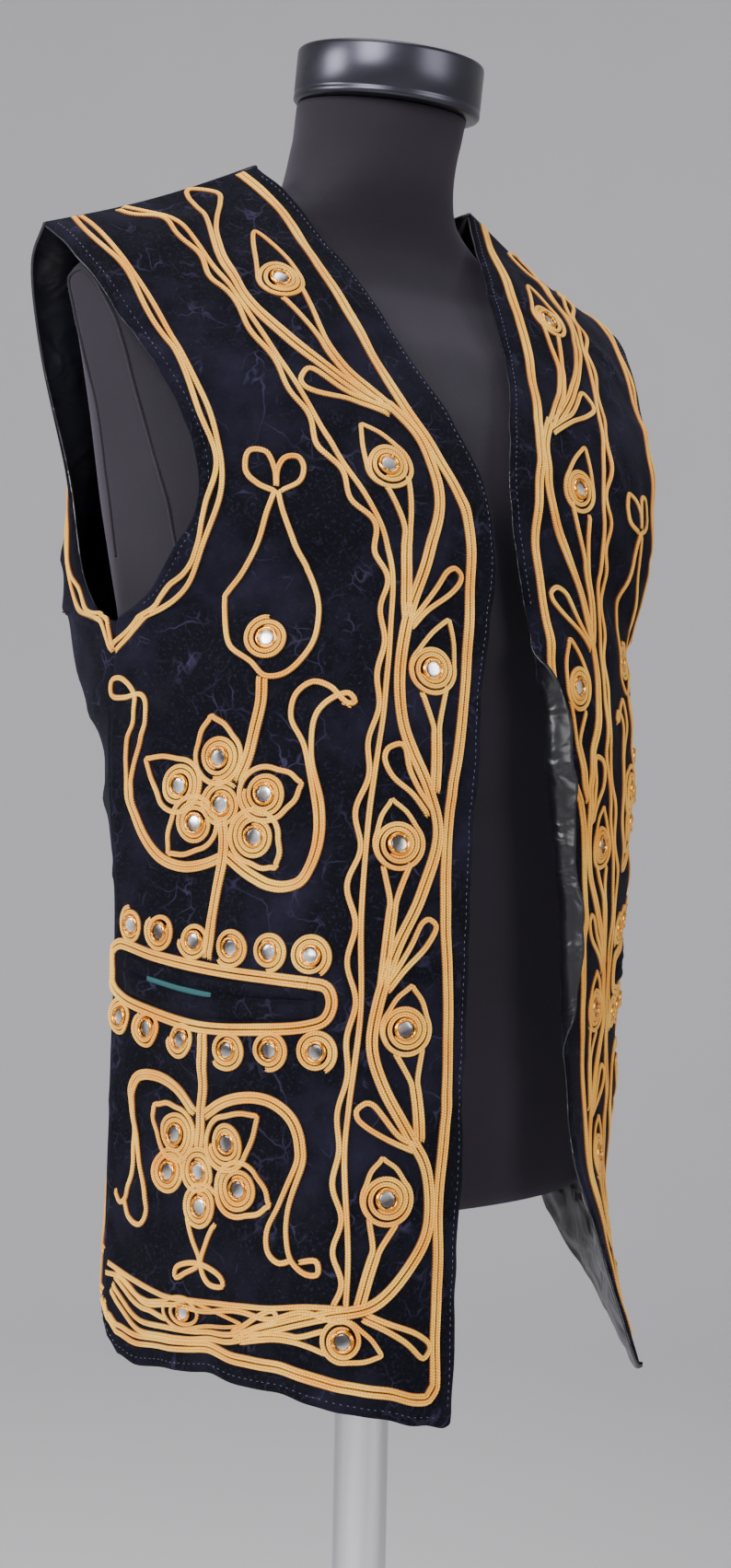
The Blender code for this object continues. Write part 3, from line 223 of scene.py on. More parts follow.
rightFront = {
    "side": -1,
    "turn": 1,  # sign that turns the grid's normals out of the vest
    "grid": (0.20, 0.64, 84, 244),  # width and height in metres, columns and rows of points
    "edge": [
        (-0.074, -0.166, 0.767), (-0.070, -0.163, 0.830), (-0.065, -0.160, 0.900), (-0.058, -0.154, 1.000),
        (-0.042, -0.141, 1.100), (-0.031, -0.134, 1.150), (-0.022, -0.127, 1.185), (-0.0220, -0.117, 1.2195),
        (-0.0290, -0.104, 1.248), (-0.0390, -0.085, 1.278), (-0.0500, -0.056, 1.320), (-0.0590, -0.023, 1.358),
        (-0.0670, 0.000, 1.385), (-0.0765, 0.017, 1.401),
    ],
    "seam": [
        (-0.169, 0.002, 0.785), (-0.168, 0.001, 0.850), (-0.1675, 0.000, 0.930), (-0.1680, -0.002, 1.000),
        (-0.1740, -0.004, 1.080), (-0.1745, -0.008, 1.147),
    ],
    "arm": [
        (-0.1745, -0.008, 1.147), (-0.1700, -0.032, 1.160), (-0.1670, -0.048, 1.180), (-0.1590, -0.058, 1.208),
        (-0.1640, -0.056, 1.242), (-0.1830, -0.032, 1.290), (-0.1980, 0.006, 1.338), (-0.1990, 0.030, 1.352),
    ],
    # height share, heading and rise at the side, heading and rise at the front edge, handle
    "shape": [
        (0.00, 4.0, 0.00, -6.0, 0.00, 0.42), (0.30, 6.0, 0.00, -4.0, 0.00, 0.42),
        (0.55, 6.0, 0.00, -4.0, 0.00, 0.40), (0.66, 22.0, 0.04, -6.0, 0.02, 0.38),
        (0.76, 46.0, 0.06, -8.0, 0.06, 0.36), (0.88, 62.0, 0.14, -10.0, 0.06, 0.34),
        (1.00, 90.0, 0.40, 0.0, -0.38, 0.33),
    ],
    # from (s, t) to (s, t), half width, height, in metres
    "folds": [
        (0.02, 0.40, 0.42, 0.20, 0.024, 0.0026), (0.10, 0.22, 0.62, 0.12, 0.024, -0.0022),
        (0.05, 0.55, 0.40, 0.47, 0.022, -0.0018), (0.30, 0.62, 0.75, 0.66, 0.022, 0.0016),
        (0.55, 0.80, 0.80, 0.92, 0.022, 0.0014),
    ],
    # small creases listed one by one, same columns
    "creases": [
        (0.00, 0.560, 0.16, 0.530, 0.0050, 0.0016), (0.00, 0.515, 0.12, 0.520, 0.0040, 0.0013),
        (0.00, 0.470, 0.22, 0.455, 0.0060, 0.0015), (0.00, 0.430, 0.10, 0.410, 0.0040, 0.0012),
        (0.00, 0.375, 0.18, 0.380, 0.0050, 0.0014), (0.00, 0.330, 0.13, 0.300, 0.0045, 0.0014),
        (0.02, 0.275, 0.34, 0.235, 0.0065, 0.0018), (0.00, 0.230, 0.20, 0.190, 0.0050, 0.0014),
        (0.03, 0.185, 0.45, 0.130, 0.0070, -0.0016), (0.00, 0.140, 0.18, 0.120, 0.0045, 0.0012),
        (0.05, 0.105, 0.36, 0.060, 0.0060, 0.0013), (0.20, 0.020, 0.26, 0.110, 0.0050, 0.0010),
        (0.42, 0.015, 0.40, 0.085, 0.0050, 0.0010), (0.60, 0.010, 0.63, 0.070, 0.0050, -0.0010),
        (0.30, 0.700, 0.62, 0.760, 0.0080, 0.0012), (0.22, 0.860, 0.60, 0.905, 0.0070, 0.0014),
        (0.15, 0.930, 0.55, 0.955, 0.0060, 0.0013), (0.35, 0.965, 0.80, 0.940, 0.0060, 0.0011),
        (0.55, 0.560, 0.38, 0.600, 0.0070, -0.0011), (0.62, 0.470, 0.40, 0.430, 0.0070, 0.0010),
        (0.00, 0.640, 0.10, 0.620, 0.0040, 0.0012), (0.02, 0.700, 0.10, 0.690, 0.0040, 0.0010),
        (0.01, 0.770, 0.09, 0.775, 0.0040, -0.0010), (0.01, 0.840, 0.11, 0.850, 0.0045, 0.0011),
        (0.88, 0.200, 0.99, 0.215, 0.0050, 0.0009), (0.90, 0.430, 0.99, 0.420, 0.0050, 0.0009),
        (0.89, 0.640, 0.99, 0.655, 0.0050, 0.0009),
    ],
    # how far the hem hangs below its smooth line: row share, mm
    "hemDrop": [(0.0, -6), (0.03, 4), (0.06, 9), (0.12, 11), (0.22, 8), (0.36, 1), (0.5, -1), (0.77, 1), (0.92, 4),
                (1.0, 8)],
}

leftFront = {
    "side": 1,
    "turn": -1,
    "grid": (0.20, 0.64, 84, 244),
    "edge": [
        (0.070, -0.146, 0.767), (0.057, -0.131, 0.827), (0.046, -0.122, 0.872), (0.041, -0.118, 0.922),
        (0.035, -0.117, 1.000), (0.026, -0.118, 1.060), (0.018, -0.116, 1.123), (0.012, -0.113, 1.160),
        (0.008, -0.107, 1.195), (0.009, -0.101, 1.236), (0.023, -0.085, 1.269), (0.033, -0.068, 1.296),
        (0.044, -0.046, 1.327), (0.060, -0.013, 1.366), (0.0765, 0.017, 1.401),
    ],
    "seam": [
        (0.160, 0.032, 0.822), (0.161, 0.032, 0.880), (0.162, 0.028, 0.940), (0.165, 0.020, 1.010),
        (0.170, 0.006, 1.080), (0.1745, -0.008, 1.147),
    ],
    "arm": [
        (0.1745, -0.008, 1.147), (0.1640, -0.032, 1.160), (0.1570, -0.048, 1.180), (0.1545, -0.058, 1.205),
        (0.1580, -0.056, 1.240), (0.1710, -0.032, 1.290), (0.1900, 0.008, 1.340), (0.1930, 0.030, 1.352),
    ],
    "shape": [
        (0.00, -6.0, -1.00, 56.0, 0.00, 0.30), (0.08, -14.0, -0.55, 48.0, 0.00, 0.32),
        (0.18, -20.0, -0.20, 32.0, 0.00, 0.35), (0.35, -15.0, 0.00, 18.0, 0.00, 0.37),
        (0.50, 6.0, 0.00, 8.0, 0.00, 0.36), (0.60, 26.0, 0.00, 4.0, 0.00, 0.36),
        (0.68, 32.0, 0.04, 0.0, 0.02, 0.37), (0.76, 46.0, 0.06, -4.0, 0.06, 0.36),
        (0.88, 62.0, 0.14, -8.0, 0.06, 0.34), (1.00, 90.0, 0.40, 0.0, -0.38, 0.33),
    ],
    "folds": [
        (0.10, 0.30, 0.60, 0.18, 0.024, 0.0022), (0.15, 0.14, 0.70, 0.08, 0.024, -0.0018),
        (0.08, 0.52, 0.50, 0.44, 0.022, 0.0016), (0.55, 0.78, 0.82, 0.90, 0.022, 0.0014),
    ],
    "creases": [
        (0.00, 0.550, 0.14, 0.520, 0.0050, 0.0015), (0.00, 0.480, 0.18, 0.470, 0.0055, 0.0014),
        (0.00, 0.420, 0.12, 0.400, 0.0040, 0.0012), (0.00, 0.360, 0.20, 0.350, 0.0050, 0.0014),
        (0.00, 0.300, 0.14, 0.270, 0.0045, 0.0013), (0.02, 0.240, 0.36, 0.200, 0.0065, 0.0016),
        (0.00, 0.180, 0.22, 0.150, 0.0050, -0.0013), (0.04, 0.120, 0.40, 0.080, 0.0060, 0.0013),
        (0.30, 0.720, 0.60, 0.770, 0.0080, 0.0012), (0.20, 0.880, 0.58, 0.910, 0.0070, 0.0013),
        (0.35, 0.950, 0.78, 0.945, 0.0060, 0.0012), (0.60, 0.540, 0.40, 0.580, 0.0070, -0.0011),
        (0.00, 0.650, 0.10, 0.640, 0.0040, 0.0011), (0.01, 0.730, 0.10, 0.720, 0.0040, -0.0010),
        (0.01, 0.830, 0.11, 0.840, 0.0045, 0.0011), (0.82, 0.330, 0.97, 0.350, 0.0060, 0.0014),
        (0.80, 0.440, 0.97, 0.455, 0.0060, -0.0012), (0.84, 0.560, 0.97, 0.550, 0.0060, 0.0013),
        (0.80, 0.690, 0.97, 0.700, 0.0060, 0.0010),
    ],
    "hemDrop": [(0.0, -4), (0.05, 3), (0.2, 4), (0.4, 0), (0.7, 2), (1.0, 4)],
    # the margin of the front edge is turned out over the velvet: height share, turn in radians, strip in mm
    "turnedMargin": [(0.235, 0.0, 3.0), (0.262, 1.5, 3.5), (0.29, 2.4, 4), (0.33, 2.75, 5), (0.37, 2.8, 4.5),
                     (0.41, 2.75, 5.5), (0.45, 2.8, 8.5), (0.49, 2.8, 9), (0.515, 2.4, 6), (0.535, 1.4, 4),
                     (0.548, 0.0, 3.0)],
    # this side's laid work sits a little differently: height in mm, then d' = first + second x d
    "shift": [(0, 0, 1.0), (40, 0, 1.0), (100, 4, 1.0), (160, 10, 1.0), (300, 10, 1.0), (330, -2, 1.1),
              (365, -8, 1.25), (400, -10, 1.3), (440, -11, 1.3), (480, -10, 1.1), (510, -15, 1.08), (550, -10, 0.9),
              (600, -6, 0.8), (700, 0, 0.95)],
}

backPanel = {
    "turn": -1,
    "grid": (0.42, 0.62, 96, 136),
    "centre": [
        (0.0, 0.120, 0.836), (0.0, 0.113, 0.920), (0.0, 0.108, 1.000), (0.0, 0.118, 1.100),
        (0.0, 0.126, 1.200), (0.0, 0.118, 1.290), (0.0, 0.094, 1.350), (0.0, 0.074, 1.380),
    ],
    "armRight": [
        (-0.1745, -0.008, 1.147), (-0.1680, 0.020, 1.153), (-0.1640, 0.044, 1.172), (-0.1640, 0.062, 1.2265),
        (-0.1790, 0.066, 1.289), (-0.1925, 0.054, 1.336), (-0.1990, 0.030, 1.352),
    ],
    "armLeft": [
        (0.1745, -0.008, 1.147), (0.1680, 0.020, 1.153), (0.1620, 0.044, 1.172), (0.1610, 0.062, 1.2265),
        (0.1760, 0.066, 1.289), (0.1900, 0.054, 1.336), (0.1930, 0.030, 1.352),
    ],
    "neck": (0.60, 0.050, 0.066, 1.384),  # share of the half row where the neckline starts, then its handle
    # height share, heading at the side, handle, rise at the right side, rise at the left
    "shape": [
        (0.00, 34.0, 0.46, 1.10, 0.15), (0.12, 36.0, 0.46, 0.55, 0.08), (0.30, 38.0, 0.46, 0.10, 0.0),
        (0.42, 34.0, 0.46, 0.0, 0.0), (0.50, 26.0, 0.46, 0.0, 0.0), (0.57, 6.0, 0.46, 0.0, 0.0),
        (0.63, -6.0, 0.46, 0.0, 0.0), (0.72, 8.0, 0.44, 0.0, 0.0), (0.85, 62.0, 0.38, 0.0, 0.0),
        (1.00, 90.0, 0.33, 0.0, 0.0),
    ],
    "folds": [
        (0.05, 0.45, 0.40, 0.25, 0.028, 0.0030), (0.30, 0.05, 0.42, 0.35, 0.028, 0.0026),
        (0.70, 0.08, 0.60, 0.38, 0.028, 0.0028), (0.95, 0.50, 0.62, 0.30, 0.028, 0.0030),
        (0.18, 0.70, 0.40, 0.80, 0.026, -0.0022), (0.82, 0.70, 0.60, 0.80, 0.026, -0.0022),
    ],
    "creases": [
        (0.00, 0.560, 0.10, 0.530, 0.0055, 0.0015), (0.00, 0.480, 0.12, 0.450, 0.0050, 0.0014),
        (0.00, 0.400, 0.09, 0.390, 0.0045, 0.0013), (0.00, 0.310, 0.11, 0.280, 0.0050, 0.0013),
        (0.00, 0.200, 0.12, 0.170, 0.0050, 0.0012), (1.00, 0.550, 0.90, 0.520, 0.0055, 0.0015),
        (1.00, 0.460, 0.89, 0.440, 0.0050, 0.0014), (1.00, 0.370, 0.90, 0.340, 0.0045, 0.0012),
        (1.00, 0.260, 0.88, 0.240, 0.0050, 0.0013), (1.00, 0.150, 0.90, 0.130, 0.0050, 0.0012),
        (0.30, 0.880, 0.48, 0.900, 0.0080, 0.0013), (0.56, 0.905, 0.72, 0.875, 0.0080, 0.0013),
        (0.35, 0.620, 0.52, 0.560, 0.0080, 0.0012), (0.50, 0.480, 0.68, 0.430, 0.0080, -0.0012),
        (0.24, 0.360, 0.38, 0.300, 0.0070, 0.0012), (0.66, 0.280, 0.80, 0.220, 0.0070, 0.0012),
        (0.40, 0.020, 0.43, 0.140, 0.0060, 0.0010), (0.62, 0.020, 0.60, 0.120, 0.0060, -0.0010),
        (0.05, 0.720, 0.16, 0.740, 0.0050, 0.0012), (0.95, 0.720, 0.85, 0.735, 0.0050, 0.0012),
    ],
    "hemDrop": [(0.0, -6), (0.02, 0), (0.06, 4), (0.2, 2), (0.5, 3), (0.8, 1), (0.95, 3), (0.98, 0), (1.0, -4)],
}


def share(curve, x):  # point of an evenly spaced curve at the given share
    k = np.asarray(x, float) * (len(curve) - 1)
    return np.stack([np.interp(k, np.arange(len(curve)), curve[:, c]) for c in range(3)], axis=-1)


def sideEdge(lower, upper):  # side seam and armhole as one edge, the underarm at its share of height
    n = vest["marks"][1]
    low, high = (share(throughPoints(row, 2 * n), np.linspace(0, 1, n + 1)) for row in (lower, upper))
    t = np.concatenate([np.linspace(0, vest["underarm"], n + 1), np.linspace(vest["underarm"], 1, n + 1)[1:]])
    p = np.vstack([low, high[1:]])
    return np.stack([np.interp(np.linspace(0, 1, 2 * n + 1), t, p[:, c]) for c in range(3)], axis=1)


def between(rows, x):  # the row below x in a table's first column, and how far x is past it, 0 to 1
    k = np.interp(x, rows[:, 0], np.arange(len(rows)))
    low = np.minimum(k.astype(int), len(rows) - 2)
    return low, k - low


def tableAt(rows, column, t):  # a table's column at height t, between its rows half straight and half eased
    rows = np.array(rows, float)
    low, f = between(rows, t)
    f = (ease(f) + f) * 0.5
    return rows[low, column] * (1 - f) + rows[low + 1, column] * f


def bend(a, b, c, d, s):  # cubic Bezier: (1-s)^3 a + 3(1-s)^2 s b + 3(1-s)s^2 c + s^3 d
    s = s[..., None]
    r = 1 - s
    return r**3 * a + 3 * r * r * s * b + 3 * r * s * s * c + s**3 * d


for front in (rightFront, leftFront):
    front["outer"] = sideEdge(front["seam"], front["arm"])
    front["inner"] = throughPoints(front["edge"], 2 * vest["marks"][1] + 1)
backPanel["right"] = sideEdge(rightFront["seam"], backPanel["armRight"])
backPanel["left"] = sideEdge(leftFront["seam"], backPanel["armLeft"])
backPanel["middle"] = throughPoints(backPanel["centre"], 2 * vest["marks"][1] + 1)


def shoulderSeam(side, u):  # straight from tip to neck with a sag of 3 mm: sag sin(pi u)
    front = rightFront if side < 0 else leftFront
    tip, neck = np.array(front["arm"][-1]), np.array(front["edge"][-1])
    u = np.asarray(u, float)[..., None]
    return tip + (neck - tip) * u + np.array([0, 0, -0.003]) * np.sin(math.pi * u)


def frontRow(front, s, t):
    # one row of a front: a Bezier from the side edge to the front edge, leaving each along its heading
    a, b = share(front["outer"], t), share(front["inner"], t)
    headA, riseA, headB, riseB, reach = (tableAt(front["shape"], k, t) for k in (1, 2, 3, 4, 5))
    headA, headB = np.radians(headA), np.radians(headB)
    handle = (reach * np.linalg.norm(b - a, axis=-1))[..., None]
    inward = -front["side"]
    da = np.stack([inward * np.sin(headA), -np.cos(headA), riseA], axis=-1)
    db = np.stack([-inward * np.cos(headB), np.sin(headB), riseB], axis=-1)
    return bend(a, a + da * handle, b + db * handle, b, s)


def frontBase(front):
    def pointOf(s, t):  # the row, its top drawn over to the shoulder seam
        s, t = np.broadcast_arrays(np.asarray(s, float), np.asarray(t, float))
        top = ease((t - 0.80) / 0.20)[..., None]
        return frontRow(front, s, t) + top * (shoulderSeam(front["side"], s) - frontRow(front, s, np.ones_like(t)))
    return pointOf


def backHalf(side, u, t):  # u runs from the side edge (0) to the centre back (1)
    a, b = share(backPanel["right" if side < 0 else "left"], t), share(backPanel["middle"], t)
    head = np.radians(tableAt(backPanel["shape"], 1, t))
    handle = (tableAt(backPanel["shape"], 2, t) * np.linalg.norm(b - a, axis=-1))[..., None]
    rise = tableAt(backPanel["shape"], 3 if side < 0 else 4, t)
    da = np.stack([-side * np.sin(head), np.cos(head), rise], axis=-1)
    db = np.stack([side + 0 * head, 0 * head, 0 * head], axis=-1)
    return bend(a, a + da * handle, b + db * handle, b, u)


def backTop(side, u):  # shoulder seam, then the neckline down to the centre: (1-v)^2 neck + 2v(1-v) mid + v^2 low
    split, x, y, z = backPanel["neck"]
    neck = np.array(rightFront["edge"][-1]) * np.array([-side, 1, 1])
    low, mid = np.array(backPanel["centre"][-1]), np.array([side * x, y, z])
    v = np.clip((u - split) / (1 - split), 0, 1)[..., None]
    line = (1 - v) ** 2 * neck + 2 * v * (1 - v) * mid + v * v * low
    return np.where((u < split)[..., None], shoulderSeam(side, np.clip(u / split, 0, 1)), line)


def backBase(s, t):
    s, t = np.broadcast_arrays(np.asarray(s, float), np.asarray(t, float))
    out = np.zeros(s.shape + (3,))
    for side in (-1, 1):
        pick = s <= 0.5 if side < 0 else s > 0.5
        u, tt = (s[pick] if side < 0 else 1 - s[pick]) * 2, t[pick]
        w = ease((tt - 0.72) / 0.28)[:, None]
        out[pick] = backHalf(side, u, tt) + w * (backTop(side, u) - backHalf(side, u, np.ones_like(tt)))
    return out


def ridges(rows, s, t, wide, high):
    # sum of soft ridges: height times a bell across each line, faded out past both of its ends
    total = np.zeros(np.broadcast(s, t).shape)
    for s0, t0, s1, t1, half, height in rows:
        ax, ay, bx, by = s0 * wide, t0 * high, s1 * wide, t1 * high
        length = math.hypot(bx - ax, by - ay)
        ux, uy = (bx - ax) / length, (by - ay) / length
        px, py = s * wide - ax, t * high - ay
        on = (px * ux + py * uy) / length
        off = (-px * uy + py * ux) / half
        fade = np.clip(on + 0.15, 0, 1) * np.clip(1.15 - on, 0, 1) * 3.2
        total = total + height * np.exp(-off * off) * np.clip(fade, 0, 1)
    return total


def normalsOf(pointOf, s, t, turn, e=0.004):  # from the points a share e to either side
    ds = pointOf(np.clip(s + e, 0, 1), t) - pointOf(np.clip(s - e, 0, 1), t)
    dt = pointOf(s, np.clip(t + e, 0, 1)) - pointOf(s, np.clip(t - e, 0, 1))
    return unit(np.cross(ds, dt)) * turn


def withEdges(count, length, fine=(0.0006, 0.0014, 0.0028)):
    # even shares, closer together at both ends, where the fine ones are metres from the edge
    near = [x / length for x in fine]
    middle = np.linspace(near[-1] * 1.6, 1 - near[-1] * 1.6, count)
    return np.concatenate([[0], near, middle, [1 - x for x in near[::-1]], [1]])


class Cloth:  # a panel as a grid of points, with ways from places in mm to shares of the grid
    def __init__(self, panel, pointOf):
        self.turn, self.shift, self.like = panel["turn"], panel.get("shift"), None
        self.wide, self.high, columns, rows = panel["grid"]
        self.s, self.t = withEdges(columns, self.wide), withEdges(rows, self.high)
        self.shares = s, t = grid(self.s, self.t)
        self.flat = pointOf(s, t)
        normal = normalsOf(pointOf, s, t, self.turn)
        inside = np.clip(np.stack([s, 1 - s, 1 - t]) / vest["calmEdge"], 0, 1).prod(axis=0)
        size = (s, t, self.wide, self.high)
        height = (ridges(panel["folds"], *size) + self.crush()) * inside
        height = height + ridges(panel["creases"], *size) * (0.35 + 0.65 * np.clip(inside * 2, 0, 1))
        self.point = self.flat + normal * height[..., None]
        self.wander(panel)
        if "turnedMargin" in panel:
            self.turnMargin(panel["turnedMargin"], normal)
        self.normal = unit(np.cross(np.gradient(self.point, axis=0), np.gradient(self.point, axis=1))) * self.turn
        # the measured grid: lengths along the rows from the side, and up the columns from the hem
        across, up = vest["marks"]
        p = pointOf(*grid(np.linspace(0, 1, across + 1), np.linspace(0, 1, up + 1)))
        self.run, self.climb = (np.concatenate([np.zeros_like(q[:1, :, 0]), np.cumsum(
            np.linalg.norm(np.diff(q, axis=0), axis=2), axis=0)]) for q in (p, p.transpose(1, 0, 2)))
        self.edge = self.climb[-1, -1]

    def crush(self):
        # low random swell of worn velvet: sum of sines of 22 to 60 mm with seeded directions
        x, y = self.shares[0] * self.wide, self.shares[1] * self.high
        total = np.zeros_like(x)
        local = np.random.default_rng(7)
        for k in range(14):
            a, size, shift = local.uniform(0, math.pi), local.uniform(0.022, 0.060), local.uniform(0, 6.28)
            bendy = 0.006 * np.sin((x * math.sin(a) - y * math.cos(a)) * 60 + shift)
            total += np.sin((x * math.cos(a) + y * math.sin(a) + bendy) * fullTurn / size + shift) * size
        return total * vest["crushHeight"]

    def wander(self, panel):
        # edges move in and out along the cloth: waver times a sum of sines 19 to 90 mm long, fading away inwards
        ds, dt = unit(np.gradient(self.point, axis=0)), unit(np.gradient(self.point, axis=1))
        local = np.random.default_rng(3)

        def waver(run):
            total = np.zeros_like(run)
            for size in (0.0193, 0.0312, 0.0451, 0.0627, 0.0900):
                total += np.sin(run * fullTurn / size + local.uniform(0, 6.28)) * (0.25 + size * 18)
            return total * vest["edgeWaver"]

        x, y = self.shares[0] * self.wide, self.shares[1] * self.high
        reach, isFront = vest["waverReach"], panel is not backPanel
        self.point = self.point + ds * (waver(y) * (1 - ease((self.wide - x) / reach)))[..., None]
        if isFront:
            arm = ease((self.shares[1] - vest["underarm"] - 0.03) / 0.04) * (1 - ease(x / reach))
            self.point = self.point + ds * (waver(y) * arm)[..., None]
        rows = np.array(panel["hemDrop"], float)
        low, f = between(rows, self.shares[0])
        drop = rows[low, 1] + (rows[low + 1, 1] - rows[low, 1]) * ease(f)
        full, none = vest["hemZone"]
        near = 1 - ease((y - full) / (none - full))
        self.point = self.point - dt * ((drop * mm + waver(x + 0.4)) * near)[..., None]
        if isFront:  # the corners where hem and front edge meet are rounded by hand
            r = vest["cornerRadius"]
            u, v = np.clip(1 - (self.wide - x) / r, 0, 1), np.clip(1 - y / r, 0, 1)
            far = np.maximum(np.hypot(u, v) - 1, 0) * r
            self.point = self.point + (dt - ds) * (far * 0.7)[..., None]

    def turnMargin(self, rows, normal):
        # across the margin: straight on, round an arc p + r sin(a) forward + r (1 - cos(a)) out, then straight again
        rows = np.array(rows)
        turn = np.interp(self.t, rows[:, 0], rows[:, 1])
        strip = np.interp(self.t, rows[:, 0], rows[:, 2]) * mm
        strip = strip * (1 + 0.16 * np.sin(self.t * 61) + 0.10 * np.sin(self.t * 143 + 1))
        r, start = vest["foldRadius"], vest["foldStart"]
        for j in np.nonzero(turn > 0.02)[0]:
            row = self.point[:, j]
            run = runAlong(row)
            x = run - (run[-1] - start)
            over = x > 0
            i = int(np.argmax(over)) - 1
            p0 = row[i] + (row[i + 1] - row[i]) * (-x[i] / (x[i + 1] - x[i]))
            forward = unit(row[i + 1] - row[i - 2])
            out = unit(normal[i, j] - forward * (normal[i, j] @ forward))
            path = x[over][:, None] / start * (start - r + r * turn[j] + strip[j])
            angle = np.clip((path - (start - r)) / r, 0, turn[j])
            past = np.maximum(path - (start - r) - r * turn[j], 0)
            on = np.minimum(path, start - r) + r * np.sin(angle) + past * math.cos(turn[j])
            up = r * (1 - np.cos(angle)) + past * math.sin(turn[j])
            self.point[over, j] = p0 + on * forward + up * out

    def at(self, st, grid=None):  # the cloth at shares (s, t), between its grid points
        grid = self.point if grid is None else grid
        st = np.clip(st, 0, 1)
        x = np.interp(st[..., 0], self.s, np.arange(len(self.s)))
        y = np.interp(st[..., 1], self.t, np.arange(len(self.t)))
        i, j = np.minimum(x.astype(int), len(self.s) - 2), np.minimum(y.astype(int), len(self.t) - 2)
        f, g = (x - i)[..., None], (y - j)[..., None]
        low = grid[i, j] * (1 - f) + grid[i + 1, j] * f
        return low * (1 - g) + (grid[i, j + 1] * (1 - f) + grid[i + 1, j + 1] * f) * g

    def slopes(self, st, e=0.010):  # change of place per share along the row and up the cloth
        st = np.clip(st, e, 1 - e)
        return [(self.at(st + way, self.flat) - self.at(st - way, self.flat)) / (2 * e)
                for way in np.array([[e, 0], [0, e]])]

    def move(self, st, vector):  # shares after a step of that 3-D vector in the cloth
        ps, pt = self.slopes(st)
        a, b, c = np.sum(ps * ps, -1), np.sum(ps * pt, -1), np.sum(pt * pt, -1)
        u, v = np.sum(ps * vector, -1), np.sum(pt * vector, -1)
        det = a * c - b * b
        return st + np.stack([(c * u - b * v) / det, (a * v - b * u) / det], axis=-1)

    def axes(self, st):  # along the row to the front edge, up the cloth, and out of it
        ps, pt = self.slopes(st)
        ex = unit(ps)
        n = unit(np.cross(ps, pt))
        return ex, np.cross(n, ex), n * self.turn

    def beside(self, centre, x, y):  # shares of points x towards the front edge and y up from a centre, in mm
        ex, ey, _ = self.axes(centre)
        vector = (np.asarray(x)[..., None] * ex + np.asarray(y)[..., None] * ey) * mm
        return self.move(np.broadcast_to(centre, vector.shape[:-1] + (2,)), vector)

    def fromEdge(self, d, h):  # shares of places d mm in from the front edge and h mm up it
        d, h = np.broadcast_arrays(np.asarray(d, float), np.asarray(h, float))
        shape, d, h = d.shape, d.ravel(), h.ravel()
        t = np.clip(h * mm / self.edge, 0, 1)
        if self.shift is not None:  # whole for d under 70 mm, gone above 110
            rows = np.array(self.shift, float)
            moved = np.interp(h, rows[:, 0], rows[:, 1]) + np.interp(h, rows[:, 0], rows[:, 2]) * d
            d = np.maximum(d + (moved - d) * (1 - ease((d - 70) / 40)), 3)
        if self.like is not None:  # past the vine the pattern is stretched to this panel's own width
            j, vine = np.round(t * vest["marks"][1]).astype(int), 65
            ratio = (self.run[-1, j] / mm - vine) / (self.like.run[-1, j] / mm - vine)
            d = np.where(d > vine, vine + (d - vine) * ratio, d)
        run = self.measured(self.run, t)
        return np.stack([self.invert(run, run[-1] - d * mm), t], axis=-1).reshape(shape + (2,))

    def fromSide(self, a, t):  # shares of places a mm in from the side edge at height share t
        a, t = np.broadcast_arrays(np.asarray(a, float), np.asarray(t, float))
        return np.stack([self.invert(self.measured(self.run, t), a * mm), t], axis=-1)

    def fromHem(self, s, h):  # shares of places h mm up from the hem at row share s
        s = np.asarray(s, float)
        return np.stack([s, self.invert(self.measured(self.climb, s), h * mm)], axis=-1)

    def measured(self, lengths, x):  # the column of measured lengths at share x, between its neighbours
        steps = lengths.shape[1] - 1
        j = np.clip((x * steps).astype(int), 0, steps - 1)
        f = x * steps - j
        return lengths[:, j] * (1 - f) + lengths[:, j + 1] * f

    def invert(self, run, x):  # the share at which each column of lengths reaches x
        i = np.clip((run < x).sum(axis=0) - 1, 0, len(run) - 2)
        k = np.arange(run.shape[1])
        return np.clip((i + (x - run[i, k]) / np.maximum(run[i + 1, k] - run[i, k], 1e-9)) / (len(run) - 1), 0, 1)


clothRight, clothLeft = (Cloth(front, frontBase(front)) for front in (rightFront, leftFront))
clothLeft.like = clothRight
clothBack = Cloth(backPanel, backBase)
fronts = {"right": clothRight, "left": clothLeft}
print("panels worked out")


# velvet and satin

